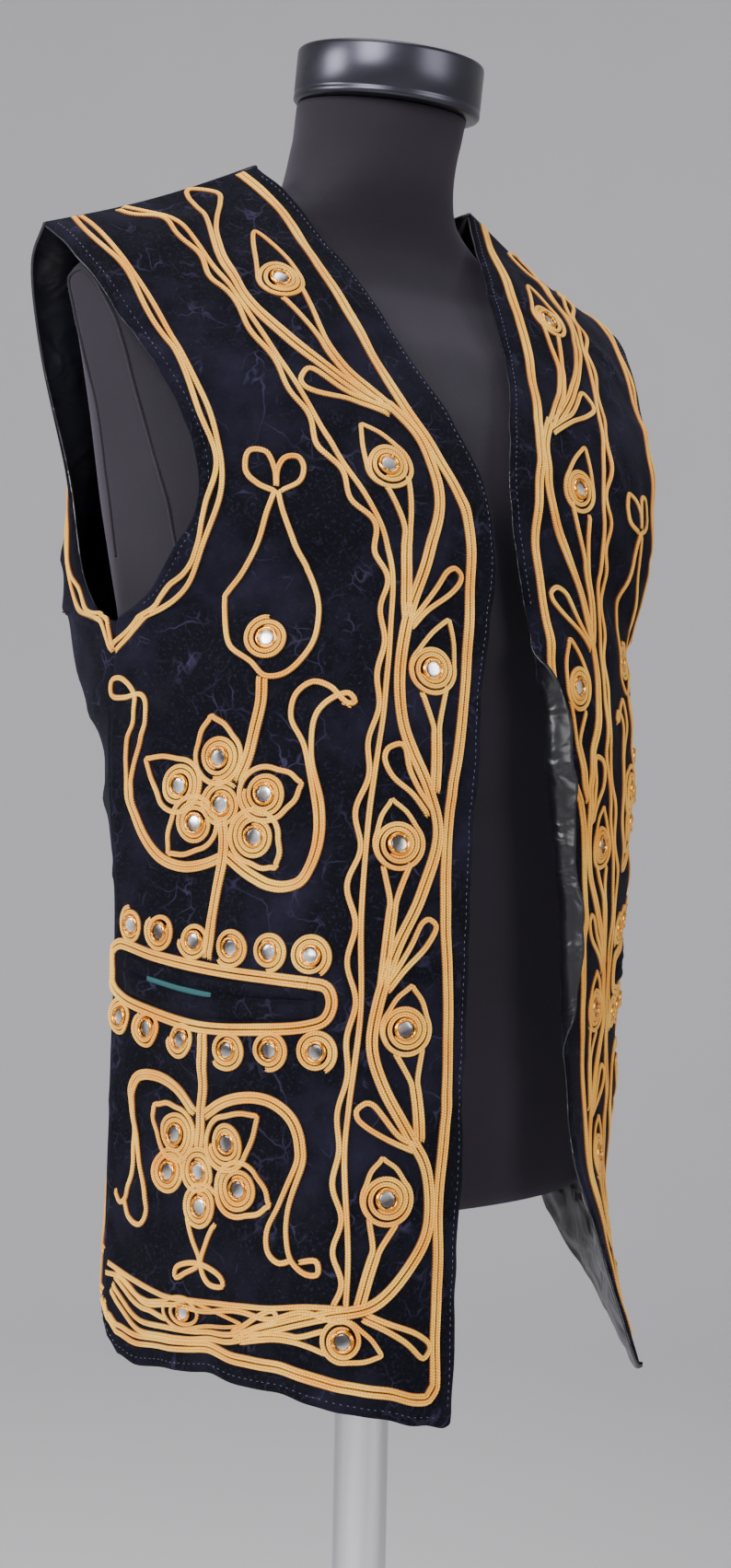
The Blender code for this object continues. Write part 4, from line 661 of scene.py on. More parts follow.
def velvetMaterial():
    # cotton velvet, piece dyed navy: short pile, nearly black straight on; thin pale star-like lines where the pile
    # has been crushed, their paleness painted sheen; a low cloudy bloom of painted sheen; a fine speckle, dusty pile
    # and painted sparkle
    material, tree, shader, place = newMaterial("navy cotton velvet, worn pile, painted sheen", {
        "Roughness": 0.95, "Sheen Weight": 0.14, "Sheen Roughness": 0.32, "Sheen Tint": linear("#5C5874"),
        "Specular IOR Level": 0.10,
    })
    swirl = addNode(tree, "TexNoise", {"Scale": 38.0, "Detail": 3.0}, {"Vector": place})
    bent = addNode(tree, "Mix", {"data_type": "RGBA", "blend_type": "LINEAR_LIGHT", 0: 0.016},
                   {6: place, 7: swirl.outputs["Color"]})
    lines = []
    # crush lines: the pile is crushed there, and the paler colour along them is painted sheen
    for scale, width in ((34.0, 0.030), (71.0, 0.050)):  # crush lines about 29 and 14 mm apart, 0.7 mm wide
        cracks = addNode(tree, "TexVoronoi", {"feature": "DISTANCE_TO_EDGE", "Scale": scale},
                         {"Vector": bent.outputs[2]})
        thin = addNode(tree, "MapRange", {1: 0.0, 2: width, 3: 1.0, 4: 0.0}, {0: cracks})
        patch = addNode(tree, "TexNoise", {"Scale": scale * 0.9, "Detail": 2.0}, {"Vector": place})
        where = addNode(tree, "MapRange", {1: 0.50, 2: 0.72, 3: 0.0, 4: 0.85}, {0: patch})
        lines.append(addNode(tree, "Math", {"operation": "MULTIPLY"}, {0: thin, 1: where}))
    line = addNode(tree, "Math", {"operation": "MAXIMUM"}, {0: lines[0], 1: lines[1]})
    # painted sheen: soft pale patches of the pile's sheen, painted into the colour
    bloom = addNode(tree, "TexNoise", {"Scale": 17.0, "Detail": 5.0, "Roughness": 0.65}, {"Vector": place})
    cloud = addNode(tree, "MapRange", {1: 0.48, 2: 0.80, 3: 0.0, 4: 0.38}, {0: bloom})
    # fine speckle, partly dusty pile texture and partly painted sparkle on the pile
    speck = addNode(tree, "TexNoise", {"Scale": 620.0, "Detail": 2.0}, {"Vector": place})
    pileSpeckAndSparkle = addNode(tree, "MapRange", {1: 0.55, 2: 0.75, 3: 0.0, 4: 0.30}, {0: speck})
    soft = addNode(tree, "Math", {"operation": "MAXIMUM"}, {0: pileSpeckAndSparkle, 1: cloud})
    both = addNode(tree, "Math", {"operation": "MAXIMUM"}, {0: line, 1: soft})
    # base colour lightened by the crush lines, the sheen patches and the speckle: painted sheen over crushed, dusty
    # pile
    tone = addNode(tree, "Mix", {"data_type": "RGBA", 6: linear("#06060D"), 7: linear("#2E2B42")}, {0: both})
    pile = addNode(tree, "TexNoise", {"Scale": 900.0, "Detail": 2.0}, {"Vector": place})
    height = addNode(tree, "Math", {"operation": "MULTIPLY_ADD", 1: 0.6}, {0: line, 2: pile})
    bump = addNode(tree, "Bump", {"Strength": 0.35, "Distance": 0.0008}, {"Height": height})
    feed(tree, shader, {"Base Color": tone.outputs[2], "Normal": bump})
    return material


def satinMaterial():
    # acetate lining satin, woven: smooth floats that catch a cool grey light along the folds; its colour carries a
    # painted highlight on the crease ridges and painted shade in their hollows
    material, tree, shader, place = newMaterial("black acetate satin", {
        "Roughness": 0.36, "Specular IOR Level": 0.55, "Anisotropic": 0.4, "Sheen Weight": 0.08,
        "Sheen Tint": linear("#8C8CA0"),
    })
    stretch = addNode(tree, "Mapping", {"Scale": (0.6, 0.6, 1.0)}, {"Vector": place})
    creases = addNode(tree, "TexNoise", {"Scale": 44.0, "Detail": 2.5, "Distortion": 0.9}, {"Vector": stretch})
    # painted highlight and shade: the colour follows the crease relief, lighter on the ridges, darker in the hollows
    tone = addNode(tree, "Mix", {"data_type": "RGBA", 6: linear("#08080C"), 7: linear("#14141C")}, {0: creases})
    bump = addNode(tree, "Bump", {"Strength": 0.9, "Distance": 0.005}, {"Height": creases})
    feed(tree, shader, {"Base Color": tone.outputs[2], "Normal": bump})
    return material


velvet = velvetMaterial()
satin = satinMaterial()


def wallFaces(ni, nj, turn):  # outer grid, inner grid and the rim that joins them
    faces = gridFaces(ni, nj, 0, turn < 0) + gridFaces(ni, nj, ni * nj, turn > 0)
    ring = [(i, 0) for i in range(ni)] + [(ni - 1, j) for j in range(1, nj)]
    ring += [(i, nj - 1) for i in range(ni - 2, -1, -1)] + [(0, j) for j in range(nj - 2, 0, -1)]
    idx = np.array([i * nj + j for i, j in ring])
    nxt = np.roll(idx, -1)
    quads = np.stack([idx, idx + ni * nj, nxt + ni * nj, nxt], axis=1)
    return faces + (quads[:, ::-1] if turn < 0 else quads).tolist()


def nearEdge(cloth):  # metres from each point to the nearest edge of its cloth
    s, t = cloth.shares
    return np.minimum(np.minimum(s, 1 - s) * cloth.wide, np.minimum(t, 1 - t) * vest["high"])


def velvetFaces(cloth):  # the outer face drops by r - sqrt(r^2 - (r-x)^2) at x from an edge, x under r
    radius, most = vest["velvetEdge"]
    short = np.clip(radius - nearEdge(cloth), 0, radius)
    drop = np.minimum(radius - np.sqrt(np.maximum(radius**2 - short**2, 0)), most)[..., None]
    thick = np.maximum(vest["velvetThick"], drop + vest["velvetLeast"])
    return cloth.point - cloth.normal * drop, cloth.point - cloth.normal * thick


def satinFaces(cloth, deep):
    # satin laid inside the velvet on the same grid: close to it at the edges, slack between, with uneven puckers
    # whose height is a sum of sines across the run of the cloth
    near, (s, t), gap = nearEdge(cloth), cloth.shares, vest["satinGap"]
    local = np.random.default_rng(11)
    pucker = np.zeros_like(s)
    for k in range(12):
        a, size, shift = local.uniform(-0.5, 0.5), local.uniform(0.012, 0.034), local.uniform(0, 6.28)
        run = t * vest["high"] * math.cos(a) + s * cloth.wide * math.sin(a)
        pucker += np.sin(run * fullTurn / size + shift) * size
    pucker = pucker * ease((near - 0.0012) / 0.008) * vest["pucker"]
    sink = gap + (deep - gap) * ease((near - 0.001) / 0.020) + pucker
    normal = cloth.normal
    for k in range(10):  # normals softened so that the slack lining doesn't spike at a corner of the cloth
        padded = np.pad(normal, ((1, 1), (1, 1), (0, 0)), mode="edge")
        normal = unit(padded[2:, 1:-1] + padded[:-2, 1:-1] + padded[1:-1, 2:] + padded[1:-1, :-2] + normal)
    outer = cloth.point - normal * np.maximum(sink, gap - 0.00005)[..., None]
    return outer, outer - normal * vest["liningThick"]


def wall(name, cloth, faces, material, slot, node, cut):  # a sheet of cloth between its two faces
    shares = np.stack(cloth.shares, axis=-1).reshape(-1, 2)
    verts = np.vstack([face.reshape(-1, 3) for face in faces])
    piece = addPiece(name, verts, wallFaces(len(cloth.s), len(cloth.t), cloth.turn), material, slot,
                     np.vstack([shares, shares]) if slot == "velvet" else None)
    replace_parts(piece, node)


# whole cuts of cloth, width and length in metres, the square metres left once a panel is cut, and how deep the
# slack satin hangs under the velvet
cuts = {"front": {"flat": (0.24, 0.70), "area": 0.115, "deep": 0.0050},
        "back": {"flat": (0.46, 0.66), "area": 0.25, "deep": 0.0075}}
panels = (("front_right", clothRight, cuts["front"]), ("front_left", clothLeft, cuts["front"]),
          ("back", clothBack, cuts["back"]))
for label, cloth, cut in panels:
    wall("velvet_" + label, cloth, velvetFaces(cloth), velvet, "velvet", label, cut)
for label, cloth, cut in panels:
    wall("satin_" + label, cloth, satinFaces(cloth, cut["deep"]), satin, "satin", "lining_" + label, cut)
print("velvet and satin made")


# soutache braid

braid = {
    "half": 1.5,  # mm, half of the flat braid's width
    "pitch": 3.15,  # mm between neighbouring strands
    "coilPitch": 2.6,  # and between the turns of a coil, where the braid is drawn tight
    "wobble": 0.04,  # share by which the width varies along a strand
    "rise": 0.04,  # mm by which each of five strands lies over the one before, so that crossings don't flicker
    "tuck": (0.0015, 0.0028),  # a strand's ends go this deep into the pile, over this length
    "stem": 1.55,  # mm from the middle of a pair of strands to either one
    # section across the braid: two ribs with a groove between, in half widths and mm
    "section": [(-1.0, -0.3), (-0.95, 0.60), (-0.55, 1.30), (-0.16, 1.05), (0.0, 0.60), (0.16, 1.05), (0.55, 1.30),
                (0.95, 0.60), (1.0, -0.3)],
}


def braidMaterial():
    # rayon soutache in warm pale gold: two plaited ribs with a stitched groove, painted shade in the groove and along
    # the sides; u runs across it, v along in cm
    material, tree, shader, place = newMaterial("warm gold rayon soutache", {
        "Roughness": 0.46, "Specular IOR Level": 0.4, "Sheen Weight": 0.10, "Sheen Tint": linear("#FFE0A0"),
    })
    uv = addNode(tree, "UVMap", {"uv_map": "along"})
    part = addNode(tree, "SeparateXYZ", {}, {0: uv})
    middle = addNode(tree, "Math", {"operation": "SUBTRACT", 1: 0.5}, {0: part})
    off = addNode(tree, "Math", {"operation": "ABSOLUTE"}, {0: middle})
    # plait: slanting stripes 1.3 mm apart that lean opposite ways on the two ribs, each a little uneven
    uneven = addNode(tree, "TexNoise", {"Scale": 420.0, "Detail": 1.0}, {"Vector": place})
    slant = addNode(tree, "Math", {"operation": "MULTIPLY_ADD", 1: 0.35}, {0: off, 2: part.outputs[1]})
    jitter = addNode(tree, "Math", {"operation": "MULTIPLY_ADD", 1: 0.05}, {0: uneven, 2: slant})
    turns = addNode(tree, "Math", {"operation": "MULTIPLY", 1: fullTurn / 0.13}, {0: jitter})
    wave = addNode(tree, "Math", {"operation": "SINE"}, {0: turns})
    plait = addNode(tree, "MapRange", {1: -1.0, 2: 1.0, 3: 0.0, 4: 1.0}, {0: wave})
    # painted shade in the groove between the two ribs, broken into dots along the plait
    groove = addNode(tree, "MapRange", {1: 0.02, 2: 0.10, 3: 0.85, 4: 0.0}, {0: off})
    # painted shade along both sides of the braid, where it turns down to the velvet and meets the next turn
    rim = addNode(tree, "MapRange", {1: 0.25, 2: 0.40, 3: 0.0, 4: 1.0}, {0: off})
    dots = addNode(tree, "MapRange", {1: 0.2, 2: 0.8, 3: 0.45, 4: 1.0}, {0: plait})
    seam = addNode(tree, "Math", {"operation": "MULTIPLY"}, {0: groove, 1: dots})
    braidShade = addNode(tree, "Math", {"operation": "MAXIMUM"}, {0: seam, 1: rim})
    patchy = addNode(tree, "TexNoise", {"Scale": 38.0, "Detail": 3.0}, {"Vector": place})
    shade = addNode(tree, "MapRange", {1: 0.32, 2: 0.68}, {0: patchy})
    tone = addNode(tree, "Mix", {"data_type": "RGBA", 6: linear("#F5AC28"), 7: linear("#FFD456")}, {0: shade})
    ribs = addNode(tree, "Mix", {"data_type": "RGBA", "blend_type": "MULTIPLY", 7: linear("#DE9A3A")},
                   {6: tone.outputs[2]})
    soft = addNode(tree, "Math", {"operation": "MULTIPLY", 1: 0.62}, {0: plait})
    feed(tree, ribs, {0: soft})
    # painted shade of the groove and the sides, mixed in as dark orange-brown
    final = addNode(tree, "Mix", {"data_type": "RGBA", 7: linear("#6B320A")}, {0: braidShade, 6: ribs.outputs[2]})
    fuzz = addNode(tree, "TexNoise", {"Scale": 1500.0, "Detail": 2.0}, {"Vector": place})
    height = addNode(tree, "Math", {"operation": "MULTIPLY_ADD", 1: 0.5}, {0: fuzz, 2: plait})
    bump = addNode(tree, "Bump", {"Strength": 0.8, "Distance": 0.0004}, {"Height": height})
    feed(tree, shader, {"Base Color": final.outputs[2], "Normal": bump})
    return material


soutache = braidMaterial()


class Braidwork:  # strands of braid sewn to one cloth, gathered into one piece
    def __init__(self, cloth):
        self.cloth = cloth
        self.verts, self.faces, self.uvs = [], [], []
        self.count = 0

    def lay(self, st, offset=0.0, wave=None, step=1.5, lift=0.0, narrow=1.0, tuck=True):
        # one strand: the section is carried along the path, its base on the velvet: p + x side + z normal; offset in
        # mm to the side, wave (near, far, length, start), step between rings in mm, lift in mm, share of full width
        cloth = self.cloth
        p = cloth.at(st)
        run = runAlong(p)
        count = max(int(run[-1] / mm / step), 3)
        at = np.linspace(0, run[-1], count)
        st = np.stack([np.interp(at, run, st[:, k]) for k in (0, 1)], axis=1)
        if offset or wave:
            p = cloth.at(st)
            side = unit(np.cross(cloth.axes(st)[2], np.gradient(p, axis=0)))
            shift = np.full(count, float(offset))
            if wave:  # bows away to one side and comes back: near + (far - near) (1 - cos) / 2, bows of uneven length
                near, far, size, start = wave
                gone = at / mm
                turn = gone * fullTurn / size + start + 0.9 * np.sin(gone / 57 + start * 3)
                bow = (0.5 - 0.5 * np.cos(turn)) * (1 + 0.35 * np.sin(gone / 31 + start))
                shift = shift + near + (far - near) * bow
            st = cloth.move(st, side * shift[:, None] * mm)
        p, n = cloth.at(st), unit(cloth.at(st, cloth.normal))
        along = unit(np.gradient(p, axis=0))
        side = unit(np.cross(n, along))
        n = np.cross(along, side)
        section = np.array(braid["section"])
        wobble = 1 + braid["wobble"] * np.sin(at / mm / 9.7 + self.count)
        x = section[:, 0] * braid["half"] * narrow * mm
        z = (section[:, 1] + lift + braid["rise"] * (self.count % 5)) * mm
        sink, reach = braid["tuck"]
        z = z[None, :] - (sink * (1 - ease(np.minimum(at, at[-1] - at) / reach)) * tuck)[:, None]
        verts = p[:, None] + side[:, None] * (x[None, :] * wobble[:, None])[..., None] + n[:, None] * z[..., None]
        k = len(section)
        start = sum(len(v) for v in self.verts)
        self.faces += tubeFaces(count, k, start)
        self.verts.append(verts.reshape(-1, 3))
        self.uvs.append(np.stack([np.tile(np.linspace(0, 1, k), count), np.repeat(at * 100, k)], axis=1))
        self.count += 1

    def double(self, st, step=1.8, lift=0.0, tuck=True):  # two strands side by side along the path
        for way in (1, -1):
            self.lay(st, way * braid["pitch"] / 2, None, step, lift, 1.0, tuck)

    def piece(self, name, node):
        made = addPiece(name, np.vstack(self.verts), self.faces, soutache, "braid_gold", np.vstack(self.uvs))
        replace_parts(made, node)


def placed(cloth, points, count=None):  # a smooth path through (d, h) places, as shares
    p = np.array(points, float)
    q = throughPoints(p, count or max(int(runAlong(p)[-1] / 2.5), 8))
    return cloth.fromEdge(q[:, 0], q[:, 1])


def localAxes(cloth, centre, tip):  # heading of a tip as seen from a centre, and its distance in mm
    ex, ey, _ = cloth.axes(centre)
    v = cloth.at(tip, cloth.flat) - cloth.at(centre, cloth.flat)
    return math.atan2(v @ ey, v @ ex), float(np.linalg.norm(v)) / mm


def spiral(outer, inner, start, sink=0.0):
    # turn lies against turn: radius falls by one pitch a turn, with a quicker first drop where sink is given
    turns = (outer - inner) / braid["coilPitch"] - sink
    a = np.linspace(0, turns, max(int(turns * 34), 6))
    r, angle = outer - braid["coilPitch"] * (a + sink * ease(a / 0.3)), start + a * fullTurn
    return r * np.cos(angle), r * np.sin(angle)


def coil(work, centre, hole, outer, start):  # a flat coil whose last turn slips under the collar
    narrow = braid["coilPitch"] / braid["pitch"]
    x, y = spiral(outer - braid["half"] * narrow, hole - 0.4, start)
    work.lay(work.cloth.beside(centre, x, y), step=1.3, narrow=narrow)


def budPath(heading, tipAway, radius, opening):
    # teardrop round a coil: an arc of the given radius, drawn out to a tip along the heading
    alpha = math.acos(min(radius / max(tipAway, radius * 1.02), 0.985))
    arc = np.linspace(math.pi * (2 - opening), alpha, 22)
    left = np.stack([radius * np.cos(arc), radius * np.sin(arc)], axis=1)
    tip = np.array([[tipAway, 0.0]])
    bulge = (left[-1] + tip[0]) / 2 + np.array([0.05, 0.10]) * radius
    over = np.array([tipAway - 1.6, 1.3])
    curve = np.vstack([left, bulge[None], over[None], tip, over[None] * [1, -1], bulge[None] * [1, -1],
                       left[::-1] * [1, -1]])
    return turnBy(heading, curve[:, 0], curve[:, 1])


mirrorSpots = {"right": [], "left": []}


def bud(work, spots, row, hole=6.3, whole=11.8, small=9.6):
    # outline and coil in one run of braid, then the two strands of the stem meeting below it; the last one, on the
    # hem near the side, is drawn out, and those on the hem are small
    (d, h), (td, th), stem = row[0], row[1], row[2:]
    cloth = work.cloth
    centre, tip = cloth.fromEdge(d, h), cloth.fromEdge(td, th)
    heading, away = localAxes(cloth, centre, tip)
    size = whole if h > 40 else small
    long, tall = (1.35, 0.62) if h < 40 and d > 100 else (1.0, 1.0)
    out = throughPoints(budPath(heading, max(away, size * 1.5), size, 0.75), 90)
    x, y = spiral(size, hole - 0.8, 0.0, 0.4)
    inner = turnBy(math.atan2(out[-1][1], out[-1][0]), x, -y)  # goes on round the same way as the outline ends
    path = np.vstack([out, inner[2:]]) * [long, tall]
    work.lay(cloth.beside(centre, path[:, 0], path[:, 1]), step=1.2, narrow=0.88 * tall**0.5)
    line = throughPoints(stem, 24)
    side = flatSide(line) * braid["stem"]
    down = unit(line[0] - [d, h])
    across = np.array([down[1], -down[0]])
    for way in (-1, 1):
        start = np.array([d, h]) + (down * 0.80 * long + across * 0.60 * way * tall) * size
        strand = np.vstack([start, line[4:] + side[4:] * way])
        work.lay(placed(cloth, strand[::2], 90), step=1.5, lift=0.1)
    spots.append((centre, 1.0 if tall == 1 else 0.8))


def leafLoop(work, row):
    # a loop of one braid about a spine: round at the tip, then its two strands run together to the joint
    half, head, near = row[0], row[1], braid["stem"]
    spine = throughPoints(row[2:], 60)
    run = runAlong(spine)
    turn = half * 1.15
    tipShape = np.sqrt(np.clip(1 - (1 - np.clip(run / turn, 0, 1)) ** 2, 0, 1))
    wide = tipShape * (near + (half - near) * (1 - ease((run - turn * 0.8) / max(head - turn * 0.8, 4))))
    wide = np.where(run > head, np.minimum(wide, near), wide)
    side = flatSide(spine) * wide[:, None]
    loop = np.vstack([(spine + side)[::-1], (spine - side)[1:]])
    work.lay(placed(work.cloth, loop[::3], 160), step=1.5)


def tendril(work, spine, ends, flat=1.57):
    # both strands lie a half pitch beside the spine, then each goes its own way; one end list makes them one loop
    p = throughPoints(spine, 50)
    beside = flatSide(p) * flat
    if len(ends) == 1:
        paths = [np.vstack([p[::4] + beside[::4], ends[0][1:-1], (p[::4] - beside[::4])[::-1]])]
    else:
        paths = [np.vstack([p[:-4:4] + beside[:-4:4] * way, end[1:]]) for way, end in zip((1, -1), ends)]
    for path in paths:
        work.lay(placed(work.cloth, path, 320 if len(ends) == 1 else 240), step=1.4)


def petalCoil(work, spots, d, h, td, th, hole=5.9, outer=12.0):  # a coil of a flower, in its pointed petal if any
    cloth = work.cloth
    centre = cloth.fromEdge(d, h)
    if td:
        heading, away = localAxes(cloth, centre, cloth.fromEdge(td, th))
        coil(work, centre, hole, outer, heading + 2.6)
        out = throughPoints(budPath(heading, max(away, outer * 1.45), outer + 1.1, 0.58), 80)
        work.lay(cloth.beside(centre, out[:, 0], out[:, 1]), step=1.4, lift=0.1)
    else:
        coil(work, centre, hole, outer + 0.6, 0.6)
    spots.append((centre, 1.0))


# places on a front: mm in from the front edge, mm up it
pattern = {
    "border": [
        (13, 692), (16, 655), (24, 615), (27, 570), (29, 515), (28, 490), (24, 462), (19, 440), (18, 415),
        (15, 372), (14, 330), (18, 290), (18, 250), (14, 205), (13, 160), (15, 100), (14, 60), (13, 18),
    ],
    "borderUp": 12.5,  # mm up from the hem
    "backLineUp": 39,
    "innerLine": [
        (88, 692), (79, 660), (83, 616), (81, 570), (78, 534), (77, 490), (74, 467), (67, 438), (61, 400),
        (58, 345), (60, 290), (60, 240), (58, 195), (62, 147), (63, 122), (59, 74), (59, 50),
    ],
    "hemLine": [(59, 50), (78, 48), (100, 43), (127, 39), (162, 34), (193, 37), (214, 42)],
    # from the armhole edge in mm, height share
    "armLine": [(20, 0.996), (19, 0.93), (17, 0.87), (13, 0.81), (12, 0.765), (13, 0.73), (18, 0.69),
                (25, 0.63), (13, 0.607), (1.5, 0.592)],
    "armLineBack": [(20, 0.996), (19, 0.93), (17, 0.86), (15, 0.79), (15, 0.72), (18, 0.67), (14, 0.63),
                    (1.5, 0.592)],
    "vine": [
        (38, 516), (32, 495), (32, 470), (35, 449), (44, 424), (51, 393), (52, 366), (48, 340), (40, 320),
        (30, 299), (24, 277), (31, 248), (43, 221), (50, 196), (52, 176), (46, 157), (33, 134), (23, 117),
        (20, 92), (26, 76), (45, 53), (66, 46), (82, 40), (100, 32), (118, 24), (139, 20), (163, 20), (188, 21),
        (210, 30),
    ],
    # coil centre, tip, then the stem's route down to the joint
    "buds": [
        ((54, 603), (43, 641), (51, 577), (53, 559), (50, 542), (43, 526), (37, 510)),
        ((56, 480), (59, 511), (54, 455), (55, 438), (56, 421), (54, 403), (51, 389)),
        ((34, 362), (29, 387), (29, 341), (28, 322), (27, 298)),
        ((44, 275), (49, 298), (44, 258), (45, 246), (46, 232), (48, 205)),
        ((36, 184), (34, 205), (32, 166), (29, 150), (27, 129)),
        ((42, 103), (45, 123), (44, 86), (46, 78), (49, 67), (53, 50)),
        ((60, 34), (41, 29), (73, 31), (92, 30), (115, 24)),
        ((152, 29), (122, 33), (168, 28), (186, 29), (207, 37)),
    ],
    # half width of the loop, length of its open head, then its spine from tip to joint
    "leaves": [
        (8.2, 48, (40, 690), (54, 668), (66, 648), (74, 630), (78, 610), (78, 596), (74, 581), (60, 548), (40, 513)),
        (5.2, 34, (74, 551), (67, 541), (58, 530), (47, 518), (38, 507)),
        (5.6, 30, (26, 414), (33, 404), (42, 395), (50, 386)),
        (5.6, 34, (51, 326), (46, 312), (38, 301), (28, 287)),
        (4.4, 32, (24, 236), (30, 225), (38, 215), (47, 203)),
        (5.0, 30, (57, 148), (48, 139), (38, 131), (27, 126)),
        (3.6, 30, (17, 30), (27, 37), (38, 42), (51, 47)),
        (3.0, 22, (93, 41), (104, 35), (119, 24)),
    ],
    "heartLoops": [(114, 500), (120, 511), (122, 520), (116, 529), (109, 525), (109, 515), (113, 503), (108, 513),
                   (102, 517), (96, 514), (96, 506), (102, 498), (113, 499)],
    "heartDrop": [(114, 502), (124, 488), (133, 472), (143, 452), (150, 424), (145, 402), (131, 388), (122, 378),
                  (111, 377), (100, 388), (99, 404), (107, 432), (115, 460), (116, 483), (113, 501)],
    "heartRose": (125.4, 400),
    "heartStem": [(124, 379), (122, 363), (124, 347), (126, 333), (130, 322)],
    # coil centre, tip of its petal (0, 0 where it has none)
    "upperFlower": [(138, 312, 0, 0), (143, 339, 150, 364), (165, 327, 188, 345), (114, 313, 94, 314),
                    (153, 304, 169, 288), (118, 291, 105, 272)],
    "upperSide": [(135, 283), (146, 280), (160, 280), (174, 286), (186, 299), (195, 317), (200, 335)],
    "upperSideEnds": [
        [(200, 335), (202, 352), (199, 368), (199, 382), (211, 395), (217, 394), (216, 385), (206, 383), (196, 384),
         (190, 374), (192, 358), (197, 340)],
    ],
    "upperFront": [(135, 285), (122, 273), (104, 262), (92, 263), (85, 276), (84, 290), (88, 314)],
    "upperFrontEnds": [
        [(88, 314), (96, 334), (105, 352), (104, 364), (97, 368), (87, 363), (80, 355), (74, 349)],
        [(86, 310), (92, 330), (92, 350), (86, 356), (77, 357), (73, 351), (80, 353)],
    ],
    "upperStem": [(137, 306), (135, 288), (137, 266), (140, 244), (142, 226)],
    "pocketTop": [(84, 210), (105, 214), (127, 218), (150, 223), (176, 229), (205, 235)],
    "pocketLow": [(84, 188), (114, 187), (140, 188), (160, 191), (180, 196), (203, 203)],
    "pocketEnds": [[(211, 231), (214, 220), (210, 208)], [(75, 191), (72, 199), (75, 207)]],
    "rowUp": [(194, 247), (172, 243), (150, 237), (128, 232), (106, 228), (84, 224)],
    "rowDown": [(204, 191), (182, 186), (156, 181), (126, 176), (103, 176), (79, 175)],
    "lowerFlower": [(146, 107, 0, 0), (163, 126, 177, 142), (128, 125, 107, 141), (166, 104, 0, 0),
                    (120, 101, 101, 95), (143, 88, 0, 0)],
    "lowerSide": [(149, 139), (160, 151), (176, 158), (189, 157), (195, 148)],
    "lowerSideEnds": [
        [(195, 148), (195, 125), (188, 108), (183, 95), (180, 82), (185, 70), (194, 73), (199, 84)],
        [(194, 144), (196, 122), (192, 103), (196, 86), (202, 80), (207, 88)],
    ],
    "lowerFront": [(144, 138), (127, 148), (111, 151), (99, 148), (89, 139), (85, 125), (86, 110)],
    "lowerFrontEnds": [
        [(85, 112), (91, 94), (91, 80), (87, 69), (79, 64), (73, 65), (74, 71), (84, 69)],
        [(87, 113), (96, 97), (102, 82), (100, 71), (94, 67), (86, 70)],
    ],
    "lowerStem": [(141, 187), (140, 172), (141, 155), (145, 138), (146, 118)],
    "lowerFeet": [(152, 83), (147, 69), (141, 57), (150, 50), (157, 46), (156, 52), (141, 57), (126, 53), (124, 49),
                  (133, 48), (140, 57), (137, 70), (132, 81)],
}


def sidePath(cloth, rows, tall=700):  # armhole line: (a mm from the edge, height share) places as shares
    q = throughPoints(np.array(rows) * [1, tall], 150)
    return cloth.fromSide(q[:, 0], q[:, 1] / tall)


def flower(work, spots, name):  # six coils in their petals, then the tendrils on both sides
    for row in pattern[name + "Flower"]:
        petalCoil(work, spots, *row)
    for side in ("Side", "Front"):
        tendril(work, pattern[name + side], pattern[name + side + "Ends"])


def dressFront(cloth, label):
    spots, out = mirrorSpots[label], -cloth.turn

    work = Braidwork(cloth)  # double band down the edge and along the hem
    low = cloth.fromHem(np.linspace(cloth.fromEdge(17, 12)[0], 0.003, 110), pattern["borderUp"])
    work.double(np.vstack([placed(cloth, pattern["border"]), low]), 2.2)
    work.piece("braid_border_" + label, "border_" + label)

    work = Braidwork(cloth)  # straight line with a second braid bowing away from it
    down, low = placed(cloth, pattern["innerLine"]), placed(cloth, pattern["hemLine"])
    work.lay(np.vstack([down, low[3:]]), step=2.4)
    work.lay(down, 0.0, (2.6 * out, 6.2 * out, 34.0, 0.6), 1.8, 0.15)
    work.lay(low, 0.0, (-2.4 * out, -5.4 * out, 39.0, 2.2), 1.8, 0.15)
    work.piece("braid_inner_line_" + label, "inner_line_" + label)

    work = Braidwork(cloth)
    arm = sidePath(cloth, pattern["armLine"])
    work.lay(arm, step=2.0)
    work.lay(arm, 0.0, (2.3 * out, 5.4 * out, 58.0, 1.0), 1.8, 0.15)
    work.piece("braid_armhole_" + label, "armhole_line_" + label)

    work = Braidwork(cloth)
    work.double(placed(cloth, pattern["vine"]))
    for row in pattern["buds"]:
        bud(work, spots, row)
    for row in pattern["leaves"]:
        leafLoop(work, row)
    work.piece("braid_vine_" + label, "vine_" + label)

    work = Braidwork(cloth)
    work.lay(placed(cloth, pattern["heartLoops"], 90), step=1.3)
    work.lay(placed(cloth, pattern["heartDrop"], 160), step=1.6, lift=0.2)
    rose = cloth.fromEdge(*pattern["heartRose"])
    coil(work, rose, 5.9, 12.2, 1.2)
    spots.append((rose, 1.0))
    work.double(placed(cloth, pattern["heartStem"]), 1.6)
    flower(work, spots, "upper")
    work.double(placed(cloth, pattern["upperStem"], 50), 1.6, 0.1)
    work.piece("braid_upper_flower_" + label, "flower_upper_" + label)

    work = Braidwork(cloth)
    ring = pattern["pocketTop"] + pattern["pocketEnds"][0] + pattern["pocketLow"][::-1] + pattern["pocketEnds"][1]
    work.double(placed(cloth, ring + pattern["pocketTop"][:1], 200), 1.6, tuck=False)
    for row in (pattern["rowUp"], pattern["rowDown"]):
        for k, (d, h) in enumerate(row):  # coils differ a little in size, and the last of a row is the largest
            centre = cloth.fromEdge(d, h)
            coil(work, centre, 5.4, 10.6 + (0.9 if k == 5 else 0.25 * math.sin(k * 2.3)), 1.57 + k * 0.7)
            spots.append((centre, 0.95))
    work.piece("braid_pocket_" + label, "pocket_braid_" + label)

    work = Braidwork(cloth)
    flower(work, spots, "lower")
    work.double(placed(cloth, pattern["lowerStem"], 50), 1.6, 0.1)
    work.lay(placed(cloth, pattern["lowerFeet"], 90), step=1.4, lift=0.2)
    work.piece("braid_lower_flower_" + label, "flower_lower_" + label)


for label, cloth in fronts.items():
    dressFront(cloth, label)

